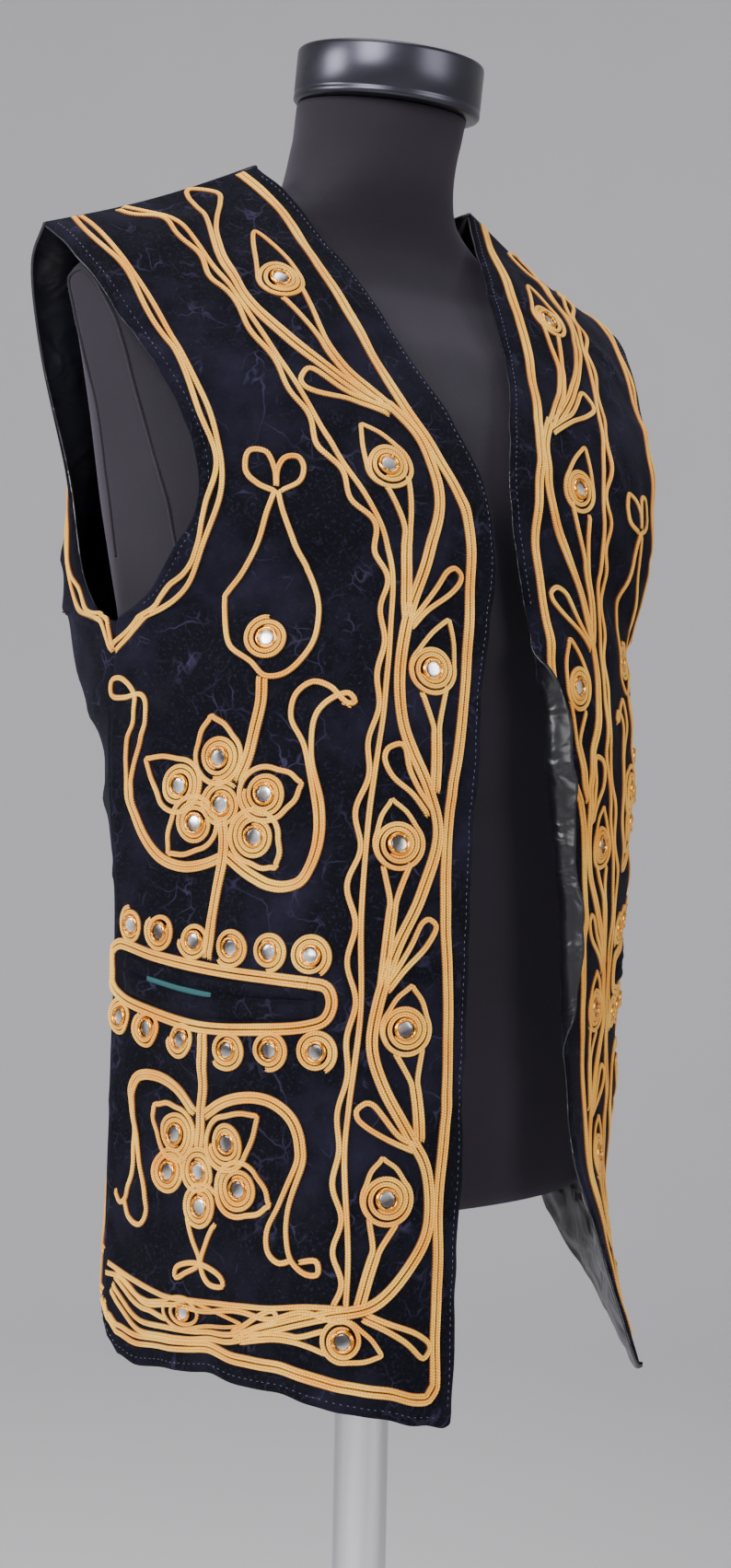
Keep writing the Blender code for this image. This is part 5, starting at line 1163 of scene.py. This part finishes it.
along = np.linspace(0.003, 0.997, 200)
work = Braidwork(clothBack)
work.double(clothBack.fromHem(along, pattern["borderUp"]), 2.4)
work.piece("braid_back_border", "back_border")
work = Braidwork(clothBack)
low = clothBack.fromHem(along, pattern["backLineUp"])
work.lay(low, step=2.4)
work.lay(low, 0.0, (2.4, 5.4, 38.0, 0.4), 2.0, 0.15)
work.piece("braid_back_inner_line", "back_inner_line")
for label in fronts:
    work = Braidwork(clothBack)
    arm = sidePath(clothBack, pattern["armLineBack"])
    if label == "left":
        arm = np.stack([1 - arm[:, 0], arm[:, 1]], axis=1)
    work.lay(arm, step=2.0)
    work.lay(arm, 0.0, (2.3, 5.4, 52.0, 1.0), 1.8, 0.15)
    work.piece("braid_back_armhole_" + label, "armhole_line_back_" + label)
print("braid laid")


# machine stitching close to the turned edges
sewing = {"away": 4.2, "length": 2.3, "pitch": 3.4, "wide": 0.28, "high": 0.24, "sunk": 0.3, "uneven": 0.15}  # mm


def threadMaterial():
    # polyester sewing thread, dusty violet, slightly shiny
    material, tree, shader, place = newMaterial("dusty violet sewing thread", {"Roughness": 0.5, "Sheen Weight": 0.1})
    worn = addNode(tree, "TexNoise", {"Scale": 90.0, "Detail": 2.0}, {"Vector": place})
    tone = addNode(tree, "Mix", {"data_type": "RGBA", 6: linear("#1C1A30"), 7: linear("#57506E")}, {0: worn})
    feed(tree, shader, {"Base Color": tone.outputs[2]})
    return material


thread = threadMaterial()


def stitchRow(name, cloth, paths):
    # every stitch is a low six-sided bead: ends at the velvet, middle raised; centres one pitch apart along the path
    verts, faces = [], []
    local = np.random.default_rng(9)
    for st in paths:
        p = cloth.at(st)
        run = runAlong(p)
        mid = np.arange(sewing["pitch"], run[-1] / mm - sewing["pitch"], sewing["pitch"]) * mm
        mid = mid + local.normal(0, sewing["uneven"] * mm, len(mid))
        half = sewing["length"] * mm / 2
        ends = [np.stack([np.interp(mid + way * half, run, st[:, k]) for k in (0, 1)], axis=1) for way in (-1, 1)]
        a, b = cloth.at(ends[0]), cloth.at(ends[1])
        n = unit(cloth.at(ends[0], cloth.normal) + cloth.at(ends[1], cloth.normal))
        side = unit(np.cross(n, b - a)) * sewing["wide"] * mm
        low, top = -n * sewing["sunk"] * mm, n * sewing["high"] * mm
        c = (a + b) / 2
        block = np.stack([a + low, c - side + low, c + side + low, b + low, c - side / 2 + top, c + side / 2 + top,
                          a * 0.8 + b * 0.2 + top * 0.8, b * 0.8 + a * 0.2 + top * 0.8], axis=1)
        start = sum(len(v) for v in verts)
        shape = np.array([(0, 1, 4), (0, 4, 6), (0, 6, 5), (0, 5, 2), (6, 4, 5), (3, 4, 1), (3, 7, 4), (3, 5, 7),
                          (3, 2, 5), (7, 5, 4), (0, 2, 1), (3, 1, 2)])
        faces += (shape[None] + (np.arange(len(mid)) * 8 + start)[:, None, None]).reshape(-1, 3).tolist()
        verts.append(block.reshape(-1, 3))
    addPiece(name, np.vstack(verts), faces, thread)


for label, cloth in fronts.items():  # the left front's edge is turned out low down, so its stitches start above that
    along = np.linspace(8, 690, 300) if label == "right" else np.linspace(400, 690, 130)
    stitchRow("stitching_front_" + label, cloth, [
        cloth.fromEdge(sewing["away"], along),
        cloth.fromHem(np.linspace(0.01, 0.97, 160), sewing["away"]),
        cloth.fromSide(sewing["away"] + 1, np.linspace(0.64, 0.995, 160)),
    ])
stitchRow("stitching_back", clothBack, [clothBack.fromHem(np.linspace(0.01, 0.99, 300), sewing["away"])])
print("edges stitched")


# mirrors in their gold collars

mirror = {
    "around": 20,
    # collar section: radius and height above the velvet, mm
    "collar": [(5.9, -0.3), (5.8, 1.1), (5.2, 2.1), (4.5, 2.2), (4.1, 1.7), (4.0, 1.0), (4.2, -0.3)],
    "glass": [(4.3, 0.2), (4.2, 0.9), (3.2, 1.15), (1.6, 1.25), (0.2, 1.28)],
    # a claw's four edges: radius, height and half width, mm; each edge gives a left and a right corner
    "claw": [(5.0, 2.0, 0.9), (5.0, 2.45, 0.9), (3.6, 1.75, 0.5), (3.6, 1.35, 0.5)],
    "clawFaces": [(0, 1, 3, 2), (2, 3, 5, 4), (4, 5, 7, 6), (6, 7, 1, 0), (0, 2, 4, 6), (1, 7, 5, 3)],
}


def collarMaterial():
    # stamped brass collar, lacquered amber: bright edges, deep orange inside
    material, tree, shader, place = newMaterial("lacquered brass collar, stamped", {
        "Metallic": 1.0, "Roughness": 0.24, "Coat Weight": 0.5, "Coat Roughness": 0.1,
    })
    uneven = addNode(tree, "TexNoise", {"Scale": 420.0, "Detail": 2.0}, {"Vector": place})
    tone = addNode(tree, "Mix", {"data_type": "RGBA", 6: linear("#C8730F"), 7: linear("#F0AE30")}, {0: uneven})
    feed(tree, shader, {"Base Color": tone.outputs[2]})
    return material


def glassMaterial():
    # small silvered mirrors, slightly clouded; a painted reflection: how much of the pale room each one throws back
    # is painted as its own "tone", carried by u of its map, and v fades each glass from bright to dim across its
    # face, a painted reflection gradient
    material, tree, shader, place = newMaterial("silvered mirror glass", {"Metallic": 0.75})
    uv = addNode(tree, "UVMap", {"uv_map": "along"})
    part = addNode(tree, "SeparateXYZ", {}, {0: uv})
    cloud = addNode(tree, "TexNoise", {"Scale": 300.0, "Detail": 2.0}, {"Vector": place})
    dull = addNode(tree, "MapRange", {1: 0.3, 2: 0.8, 3: 0.10, 4: 0.34}, {0: cloud})
    across = addNode(tree, "Math", {"operation": "ADD"}, {0: part, 1: part.outputs[1]})
    level = addNode(tree, "MapRange", {1: 0.25, 2: 1.15, 3: 0.0, 4: 1.0}, {0: across})
    tone = addNode(tree, "Mix", {"data_type": "RGBA", 6: linear("#5F5A5C"), 7: linear("#FFFFFF")}, {0: level})
    feed(tree, shader, {"Roughness": dull, "Base Color": tone.outputs[2]})
    return material


collarBrass = collarMaterial()
mirrorGlass = glassMaterial()


def mirrors(cloth, label):
    # collar and glass profiles carried round each spot, p + r around + h normal, each leaning a little its own way
    a, count = circle(mirror["around"]), mirror["around"]
    local = np.random.default_rng(5)
    rings, ringFaces, glass, glassFaces, paintedReflectionMap = [], [], [], [], []
    for st, size in mirrorSpots[label]:
        ex, ey, n = cloth.axes(st)
        lean = local.normal(0, 0.05, 2)
        n = unit(n + ex * lean[0] + ey * lean[1])
        ex = unit(ex - n * (ex @ n))
        ey = np.cross(n, ex)
        p = cloth.at(st)
        around = np.cos(a)[:, None, None] * ex + np.sin(a)[:, None, None] * ey
        for name, store, faces in (("collar", rings, ringFaces), ("glass", glass, glassFaces)):
            q = np.array(mirror[name]) * mm
            q[:, 0] *= size
            k, start = len(q), sum(len(v) for v in store)
            store.append((p + around * q[None, :, 0, None] + n * q[None, :, 1, None]).reshape(-1, 3))
            faces += gridFaces(count, k, start, False, True)
            if name == "collar":  # closed underneath, from its inner foot to its outer foot
                i = np.arange(count) * k + start
                faces += np.stack([i + k - 1, np.roll(i, -1) + k - 1, np.roll(i, -1), i], axis=1).tolist()
            else:
                # painted reflection: each glass gets its own brightness and a fade across its face
                brightness, way = local.uniform(0.15, 1.0), local.uniform(0, 6.28)
                fall = 0.5 * np.cos(a - way)[:, None] * q[None, :, 0] / (mirror["glass"][0][0] * mm)
                paintedReflectionMap.append(np.stack([np.full_like(fall, brightness), fall], axis=-1).reshape(-1, 2))
                faces += [[v + start for v in lid] for lid in lids(count, k)]
        for c in range(4):  # four claws folded in over the glass
            t = c * fullTurn / 4 + 0.6 + local.uniform(-0.2, 0.2)
            out = math.cos(t) * ex + math.sin(t) * ey
            side = np.cross(n, out)
            start = sum(len(v) for v in rings)
            rings.append(np.array([p + (out * r * size + n * z + side * w * way) * mm
                                   for r, z, w in mirror["claw"] for way in (1, -1)]))
            ringFaces += [[start + v for v in face] for face in mirror["clawFaces"]]
    addPiece("mirror_collars_" + label, np.vstack(rings), ringFaces, collarBrass)
    addPiece("mirror_glass_" + label, np.vstack(glass), glassFaces, mirrorGlass, None, np.vstack(paintedReflectionMap))


for label, cloth in fronts.items():
    mirrors(cloth, label)
print("mirrors set:", len(mirrorSpots["right"]) + len(mirrorSpots["left"]))


# pocket welts

welts = {
    "span": (80, 200),  # mm from the front edge
    "slitSpan": (138, 182),  # where the slit gapes
    # from and to as shares of the frame's height, rise in mm
    "welt_lower_": (0.16, 0.53, 2.6),
    "welt_upper_": (0.60, 0.86, 2.4),
    "slit": (0.50, 0.62, 0.9),
    "sunk": 0.0006,
}


def tealMaterial():
    # pocket bag of plain woven cotton, teal
    material, tree, shader, place = newMaterial("teal pocket cotton", {
        "Roughness": 0.8, "Base Color": linear("#12464B"),
    })
    weave = addNode(tree, "TexNoise", {"Scale": 800.0}, {"Vector": place})
    bump = addNode(tree, "Bump", {"Strength": 0.3, "Distance": 0.0003}, {"Height": weave})
    feed(tree, shader, {"Normal": bump})
    return material


teal = tealMaterial()


def lip(cloth, name, span, low, high, rise, material, slot):
    # half-round strip between two shares of the pocket frame's height: height = rise sin(pi v), ends faded
    d, v = grid(np.linspace(*span, 60), np.linspace(0, 1, 11))
    lowH, topH = (np.interp(d, *np.array(pattern[edge], float).T) for edge in ("pocketLow", "pocketTop"))
    st = cloth.fromEdge(d, lowH + (topH - lowH) * (low + (high - low) * v))
    p, n = cloth.at(st), unit(cloth.at(st, cloth.normal))
    u = (d - d[0, 0]) / (d[-1, 0] - d[0, 0])
    fade = np.clip(np.minimum(u, 1 - u) * 12, 0.12, 1)
    bumpy = 1 + 0.10 * np.sin(d / 7.0 + v * 2) + 0.08 * np.sin(d / 3.1)
    z = rise * np.sin(np.pi * v).clip(0) ** 0.6 * fade * bumpy
    top, under = p + n * (z * mm)[..., None], p - n * welts["sunk"]
    verts = np.vstack([top.reshape(-1, 3), under.reshape(-1, 3)])
    return addPiece(name, verts, wallFaces(*d.shape, -cloth.turn), material, slot)


for label, cloth in fronts.items():
    for name, node in (("welt_low_", "welt_lower_"), ("welt_high_", "welt_upper_")):
        piece = lip(cloth, name + label, welts["span"], *welts[node], velvet, "velvet")
        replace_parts(piece, node + label)
    lip(cloth, "pocket_bag_" + label, welts["slitSpan"], *welts["slit"], teal, "satin")
print("pockets made")


# the dress form and its stand

form = {
    # height, half width, depth to the front, depth to the back, centre y, squareness
    "sections": [
        (0.843, 0.143, 0.085, 0.076, 0.000, 2.0), (0.847, 0.147, 0.089, 0.080, 0.000, 2.0),
        (0.900, 0.146, 0.090, 0.078, 0.000, 2.0), (1.000, 0.142, 0.093, 0.076, 0.002, 2.0),
        (1.080, 0.147, 0.100, 0.084, 0.004, 2.0), (1.150, 0.155, 0.104, 0.092, 0.005, 2.0),
        (1.210, 0.165, 0.098, 0.096, 0.006, 2.1), (1.260, 0.174, 0.084, 0.088, 0.008, 2.1),
        (1.300, 0.184, 0.066, 0.066, 0.012, 2.1), (1.326, 0.190, 0.045, 0.048, 0.018, 2.0),
        (1.340, 0.172, 0.034, 0.036, 0.022, 2.0), (1.352, 0.140, 0.029, 0.029, 0.022, 2.0),
        (1.362, 0.110, 0.026, 0.029, 0.021, 2.0), (1.372, 0.080, 0.028, 0.031, 0.019, 2.0),
        (1.384, 0.060, 0.035, 0.037, 0.017, 2.0), (1.394, 0.053, 0.043, 0.042, 0.016, 2.0),
        (1.406, 0.049, 0.047, 0.046, 0.014, 2.0), (1.420, 0.048, 0.048, 0.047, 0.010, 2.0),
        (1.432, 0.048, 0.048, 0.048, 0.004, 2.0),
    ],
    "plate": (-0.168, -0.19, -0.15, 1.250),  # arm plate: outermost x, lean with z, lean with y, mid height
    "plateReach": (1.145, 1.365),  # heights between which it cuts the form
    "around": 128,
    "rows": 120,
    "soften": 11,  # steps to each side that the sections are softened over, about 1 cm
    "inset": 0.0008,  # the jersey's surface inside the sections
    "neckEnd": 0.955,  # share of the rings from which the neck bends up to its cap
    "roll": (0.0010, 0.0034),  # radius of the arm plate's seam and length of its stitches
    "capTilt": math.radians(8),
    "capSeat": 1.4395,
    "capRadius": 0.052,
    "capHigh": 0.029,
}


def jerseyMaterial():
    # cotton jersey drawn over foam: fine knit, matt, a faint warm grey bloom
    material, tree, shader, place = newMaterial("charcoal cotton jersey over foam", {
        "Roughness": 0.88, "Sheen Weight": 0.35, "Sheen Roughness": 0.5, "Sheen Tint": linear("#8A8294"),
        "Specular IOR Level": 0.2,
    })
    knit = addNode(tree, "TexNoise", {"Scale": 1100.0, "Detail": 2.0}, {"Vector": place})
    patch = addNode(tree, "TexNoise", {"Scale": 14.0, "Detail": 3.0}, {"Vector": place})
    mixed = addNode(tree, "Math", {"operation": "MULTIPLY_ADD", 1: 0.4}, {0: knit, 2: patch})
    tone = addNode(tree, "Mix", {"data_type": "RGBA", 6: linear("#151317"), 7: linear("#242128")}, {0: mixed})
    bump = addNode(tree, "Bump", {"Strength": 0.25, "Distance": 0.0004}, {"Height": knit})
    feed(tree, shader, {"Base Color": tone.outputs[2], "Normal": bump})
    return material


def capMaterial():
    # spun metal cap, black nickel with a satin finish: a soft grey sheen that runs round it, brighter at its rim
    material, tree, shader, place = newMaterial("satin black nickel on spun cap", {
        "Metallic": 0.85, "Anisotropic": 0.5,
    })
    stretch = addNode(tree, "Mapping", {"Scale": (1.0, 1.0, 3.0)}, {"Vector": place})
    fine = addNode(tree, "TexNoise", {"Scale": 30.0, "Detail": 5.0}, {"Vector": stretch})
    dull = addNode(tree, "MapRange", {1: 0.3, 2: 0.7, 3: 0.27, 4: 0.32}, {0: fine})
    tone = addNode(tree, "Mix", {"data_type": "RGBA", 6: linear("#34343B"), 7: linear("#3E3E47")}, {0: fine})
    feed(tree, shader, {"Roughness": dull, "Base Color": tone.outputs[2]})
    return material


def steelMaterial(name, tint, low, high, size):
    # chromed steel tube or brushed plate: long fine scratches along the length
    material, tree, shader, place = newMaterial(name, {"Metallic": 1.0})
    stretch = addNode(tree, "Mapping", {"Scale": size}, {"Vector": place})
    fine = addNode(tree, "TexNoise", {"Scale": 120.0, "Detail": 3.0}, {"Vector": stretch})
    dull = addNode(tree, "MapRange", {1: 0.3, 2: 0.7, 3: low, 4: high}, {0: fine})
    tone = addNode(tree, "Mix", {"data_type": "RGBA", 6: linear(tint), 7: linear("#A8A8AC")}, {0: fine})
    feed(tree, shader, {"Roughness": dull, "Base Color": tone.outputs[2]})
    return material


jersey = jerseyMaterial()
capNickel = capMaterial()
chrome = steelMaterial("chromed steel tube", "#D8D8DC", 0.10, 0.22, (1.0, 1.0, 0.03))
plateSteel = steelMaterial("satin chromed steel plate", "#C8C8CC", 0.22, 0.36, (1.0, 1.0, 1.0))


def armPlate(y, z):  # how far out the arm plate's plane lies at y and z
    x0, leanZ, leanY, mid = form["plate"]
    return -(x0 + leanZ * (z - mid) + leanY * y)


def torsoPoint(a, v):
    # superellipse rings whose widths follow the section table; the arm ends are cut by the plate's plane
    rows = np.array(form["sections"])
    z = np.interp(v, np.linspace(0, 1, len(rows)), rows[:, 0])
    fine = np.linspace(rows[0, 0], rows[-1, 0], 500)
    side = form["soften"]
    blur = np.exp(-np.linspace(-2.2, 2.2, 2 * side + 1) ** 2)
    curves = []
    for k in (1, 2, 3, 4, 5):  # each column softened, but never more than 1 mm over its table
        value = np.pad(np.interp(fine, rows[:, 0], rows[:, k]), side, mode="reflect", reflect_type="odd")
        value = np.convolve(value, blur / blur.sum(), "valid")
        curves.append(np.minimum(np.interp(z, fine, value), np.interp(z, rows[:, 0], rows[:, k]) + mm))
    half, front, back, cy, power = curves
    c, s = np.cos(a), np.sin(a)
    x = (half - form["inset"]) * np.sign(c) * np.abs(c) ** (2 / power)
    y = cy + (np.where(s < 0, front, back) - form["inset"]) * np.sign(s) * np.abs(s) ** (2 / power)
    limit = armPlate(y, z)
    low, high = form["plateReach"]
    x = np.where((z > low) & (z < high) & (np.abs(x) > limit), np.sign(x) * limit, x)
    seat = form["capSeat"] + y * math.tan(form["capTilt"]) - 0.0004
    z = z + (seat - rows[-1, 0]) * ease((v - form["neckEnd"]) / (1 - form["neckEnd"]))
    return np.stack([x, y, z], axis=-1)


faces = gridFaces(form["around"], form["rows"], wrap=True) + lids(form["around"], form["rows"])
verts = torsoPoint(*grid(circle(form["around"]), np.linspace(0, 1, form["rows"])))
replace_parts(addPiece("form_body", verts, faces, jersey, "form_cloth"), "form_torso")


def seamRoll(name, path, out, radius, stitch):
    # a stuffed seam: a thin roll along the path whose radius dips at every stitch; path and out are whole arrays
    side = unit(np.cross(out, unit(np.gradient(path, axis=0))))
    swell = radius * (0.72 + 0.28 * np.abs(np.sin(runAlong(path) * math.pi / stitch)))
    ring = circle(8)
    verts = path[:, None] + swell[:, None, None] * (np.cos(ring)[None, :, None] * side[:, None]
                                                    + np.sin(ring)[None, :, None] * out[:, None])
    addPiece(name, verts.reshape(-1, 3), tubeFaces(len(path), len(ring), 0, True), jersey, "form_cloth")


# rim of the flat oval arm plate, inside the armhole: the first and last place of each ring that its plane cuts
angles = np.linspace(-math.pi / 2, math.pi / 2, 721)
rim = [[], []]
for level in np.linspace(0.30, 0.66, 150):
    ring = torsoPoint(angles, np.full_like(angles, level))
    flat = ring[np.abs(np.abs(ring[:, 0]) - armPlate(ring[:, 1], ring[:, 2])) < 2e-5]
    if len(flat) > 20:
        rim[0].append(flat[0])
        rim[1].append(flat[-1])
for side, label in ((-1, "right"), (1, "left")):
    path = throughPoints(np.array(rim[0] + rim[1][::-1])[::6] * [side, 1, 1], 260)
    seamRoll("form_seam_arm_" + label, path, np.array([side, 0.0, 0.0]) + 0 * path, *form["roll"])

# stand: name, CAD node, (radius, height) profile in metres, points around, tilt, height of its foot, looks
r, h = form["capRadius"], form["capHigh"]
stand = [
    ("neck_cap", "form_neck_cap", [
        (r - 0.004, 0), (r - 0.001, 0.0003), (r, 0.0015), (r, 0.004), (r - 0.0004, 0.0048), (r, 0.0056),
        (r, h - 0.0022), (r - 0.0003, h - 0.0010), (r - 0.0011, h - 0.0002), (r - 0.0030, h),
        (r - 0.010, h + 0.0004), (0.020, h + 0.0012), (0.001, h + 0.0014),
    ], 128, form["capTilt"], form["capSeat"], capNickel, "cap_black"),
    ("stand_pole", "form_pole", [
        (0.0142, 0.0303), (0.015, 0.0312), (0.015, 0.600), (0.015, 0.829), (0.0150, 0.8415), (0.0140, 0.8427),
    ], 96, 0.0, 0.0, chrome, "pole_chrome"),
    ("stand_base", "form_base", [
        (0.158, 0.0), (0.1595, 0.0006), (0.160, 0.002), (0.160, 0.0088), (0.1594, 0.0105), (0.157, 0.0118),
        (0.150, 0.012), (0.034, 0.012), (0.0305, 0.0128), (0.0290, 0.0150), (0.0272, 0.0270), (0.0262, 0.0292),
        (0.0245, 0.0300), (0.0155, 0.0300),
    ], 128, 0.0, 0.0, plateSteel, "base_steel"),
]
for name, node, profile, around, tilt, foot, material, slot in stand:
    verts, faces = turned(profile, around, tilt, foot)
    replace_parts(addPiece(name, verts, faces, material, slot), node)
print("form and stand made")


# studio

studio = {
    "floorTones": ("#D8D6D8", "#DCDBDC"),
    "floorReach": 3.0,  # metres, also the radius of the bend
    "wallHigh": 4.0,
    "worldTone": "#C9CBD2",
    "world": 0.5,
    # name, place, aim, size, power
    "lights": [
        ("key", (-2.6, -1.5, 2.3), (0, 0, 1.15), (1.4, 1.4), 130),
        ("fill", (0.9, -3.0, 1.9), (0, 0, 1.15), (1.6, 1.6), 55),
        ("side", (-2.8, 0.8, 1.9), (0, 0, 1.25), (1.0, 1.0), 70),
        ("top", (-0.3, -0.2, 3.2), (0, 0, 1.0), (1.4, 1.4), 35),
    ],
}

floorMaterial, tree, shader, place = newMaterial("pale matt studio floor", {"Roughness": 0.85})
grain = addNode(tree, "TexNoise", {"Scale": 2.0, "Detail": 2.0}, {"Vector": place})
tone = addNode(tree, "Mix", {"data_type": "RGBA", 6: linear(studio["floorTones"][0]),
                                  7: linear(studio["floorTones"][1])},
               {0: grain})
feed(tree, shader, {"Base Color": tone.outputs[2]})

# flat floor that bends up into a wall all round behind: radius outwards, then a quarter circle, then straight up
flat, wallUp = studio["floorReach"], studio["wallHigh"]
reach = np.concatenate([np.linspace(0.01, flat, 12), np.full(38, flat)])
bow = np.concatenate([np.zeros(12), np.linspace(0, math.pi / 2, 31)[1:], np.full(8, math.pi / 2)])
climb = np.concatenate([np.zeros(42), np.linspace(0, wallUp, 9)[1:]])
a = circle(96)[:, None]
r, height = reach + flat * np.sin(bow), flat * (1 - np.cos(bow)) + climb
ring = np.stack([np.cos(a) * r, np.sin(a) * r, height + 0 * a], axis=-1)
mesh = bpy.data.meshes.new("studio_floor")
mesh.from_pydata(ring.reshape(-1, 3).tolist(), [], gridFaces(len(a), len(r), wrap=True))
mesh.shade_smooth()
mesh.materials.append(floorMaterial)
floor = bpy.data.objects.new("studio_floor", mesh)
bpy.context.scene.collection.objects.link(floor)
floor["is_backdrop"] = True

world = bpy.data.worlds.new("soft grey studio")
bpy.context.scene.world = world
world.use_nodes = True
background = world.node_tree.nodes["Background"]
background.inputs["Color"].default_value = linear(studio["worldTone"])
background.inputs["Strength"].default_value = studio["world"]

for name, place, aim, size, power in studio["lights"]:
    lamp = bpy.data.lights.new(name, "AREA")
    lamp.shape = "RECTANGLE"
    lamp.size, lamp.size_y = size
    lamp.energy = power
    holder = bpy.data.objects.new(name, lamp)
    holder.location = place
    holder.rotation_euler = (Vector(aim) - Vector(place)).to_track_quat("-Z", "Y").to_euler()
    bpy.context.scene.collection.objects.link(holder)

# the photo's view: turned from the front, metres from the stand's axis and up, roll, focal length and frame height in
# photo pixels, and how far the frame's middle lies off the axis, as shares of its height
view = {
    "angle": math.radians(38), "away": 1.26, "height": 1.067, "roll": math.radians(1.08),
    "focal": 2460, "frame": 1703, "sensor": 36, "shift": (-8.6 / 1703, -0.0009),
}
c, s = math.cos(view["angle"]), math.sin(view["angle"])
ahead, level, up = Vector((s, c, 0)), Vector((c, -s, 0)), Vector((0, 0, 1))
cr, sr = math.cos(view["roll"]), math.sin(view["roll"])
turn = Matrix((level * cr + up * sr, up * cr - level * sr, -ahead)).transposed().to_4x4()
cameraData = bpy.data.cameras.new("camera")
cameraData.sensor_fit = "VERTICAL"
cameraData.sensor_height = view["sensor"]
cameraData.lens = view["focal"] / view["frame"] * view["sensor"]
cameraData.shift_x, cameraData.shift_y = view["shift"]
cameraData.clip_start = 0.05
camera = bpy.data.objects.new("camera", cameraData)
camera.matrix_world = Matrix.Translation(Vector((0, 0, view["height"])) - ahead * view["away"]) @ turn
bpy.context.scene.collection.objects.link(camera)
bpy.context.scene.camera = camera
print("studio set")

low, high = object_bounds()
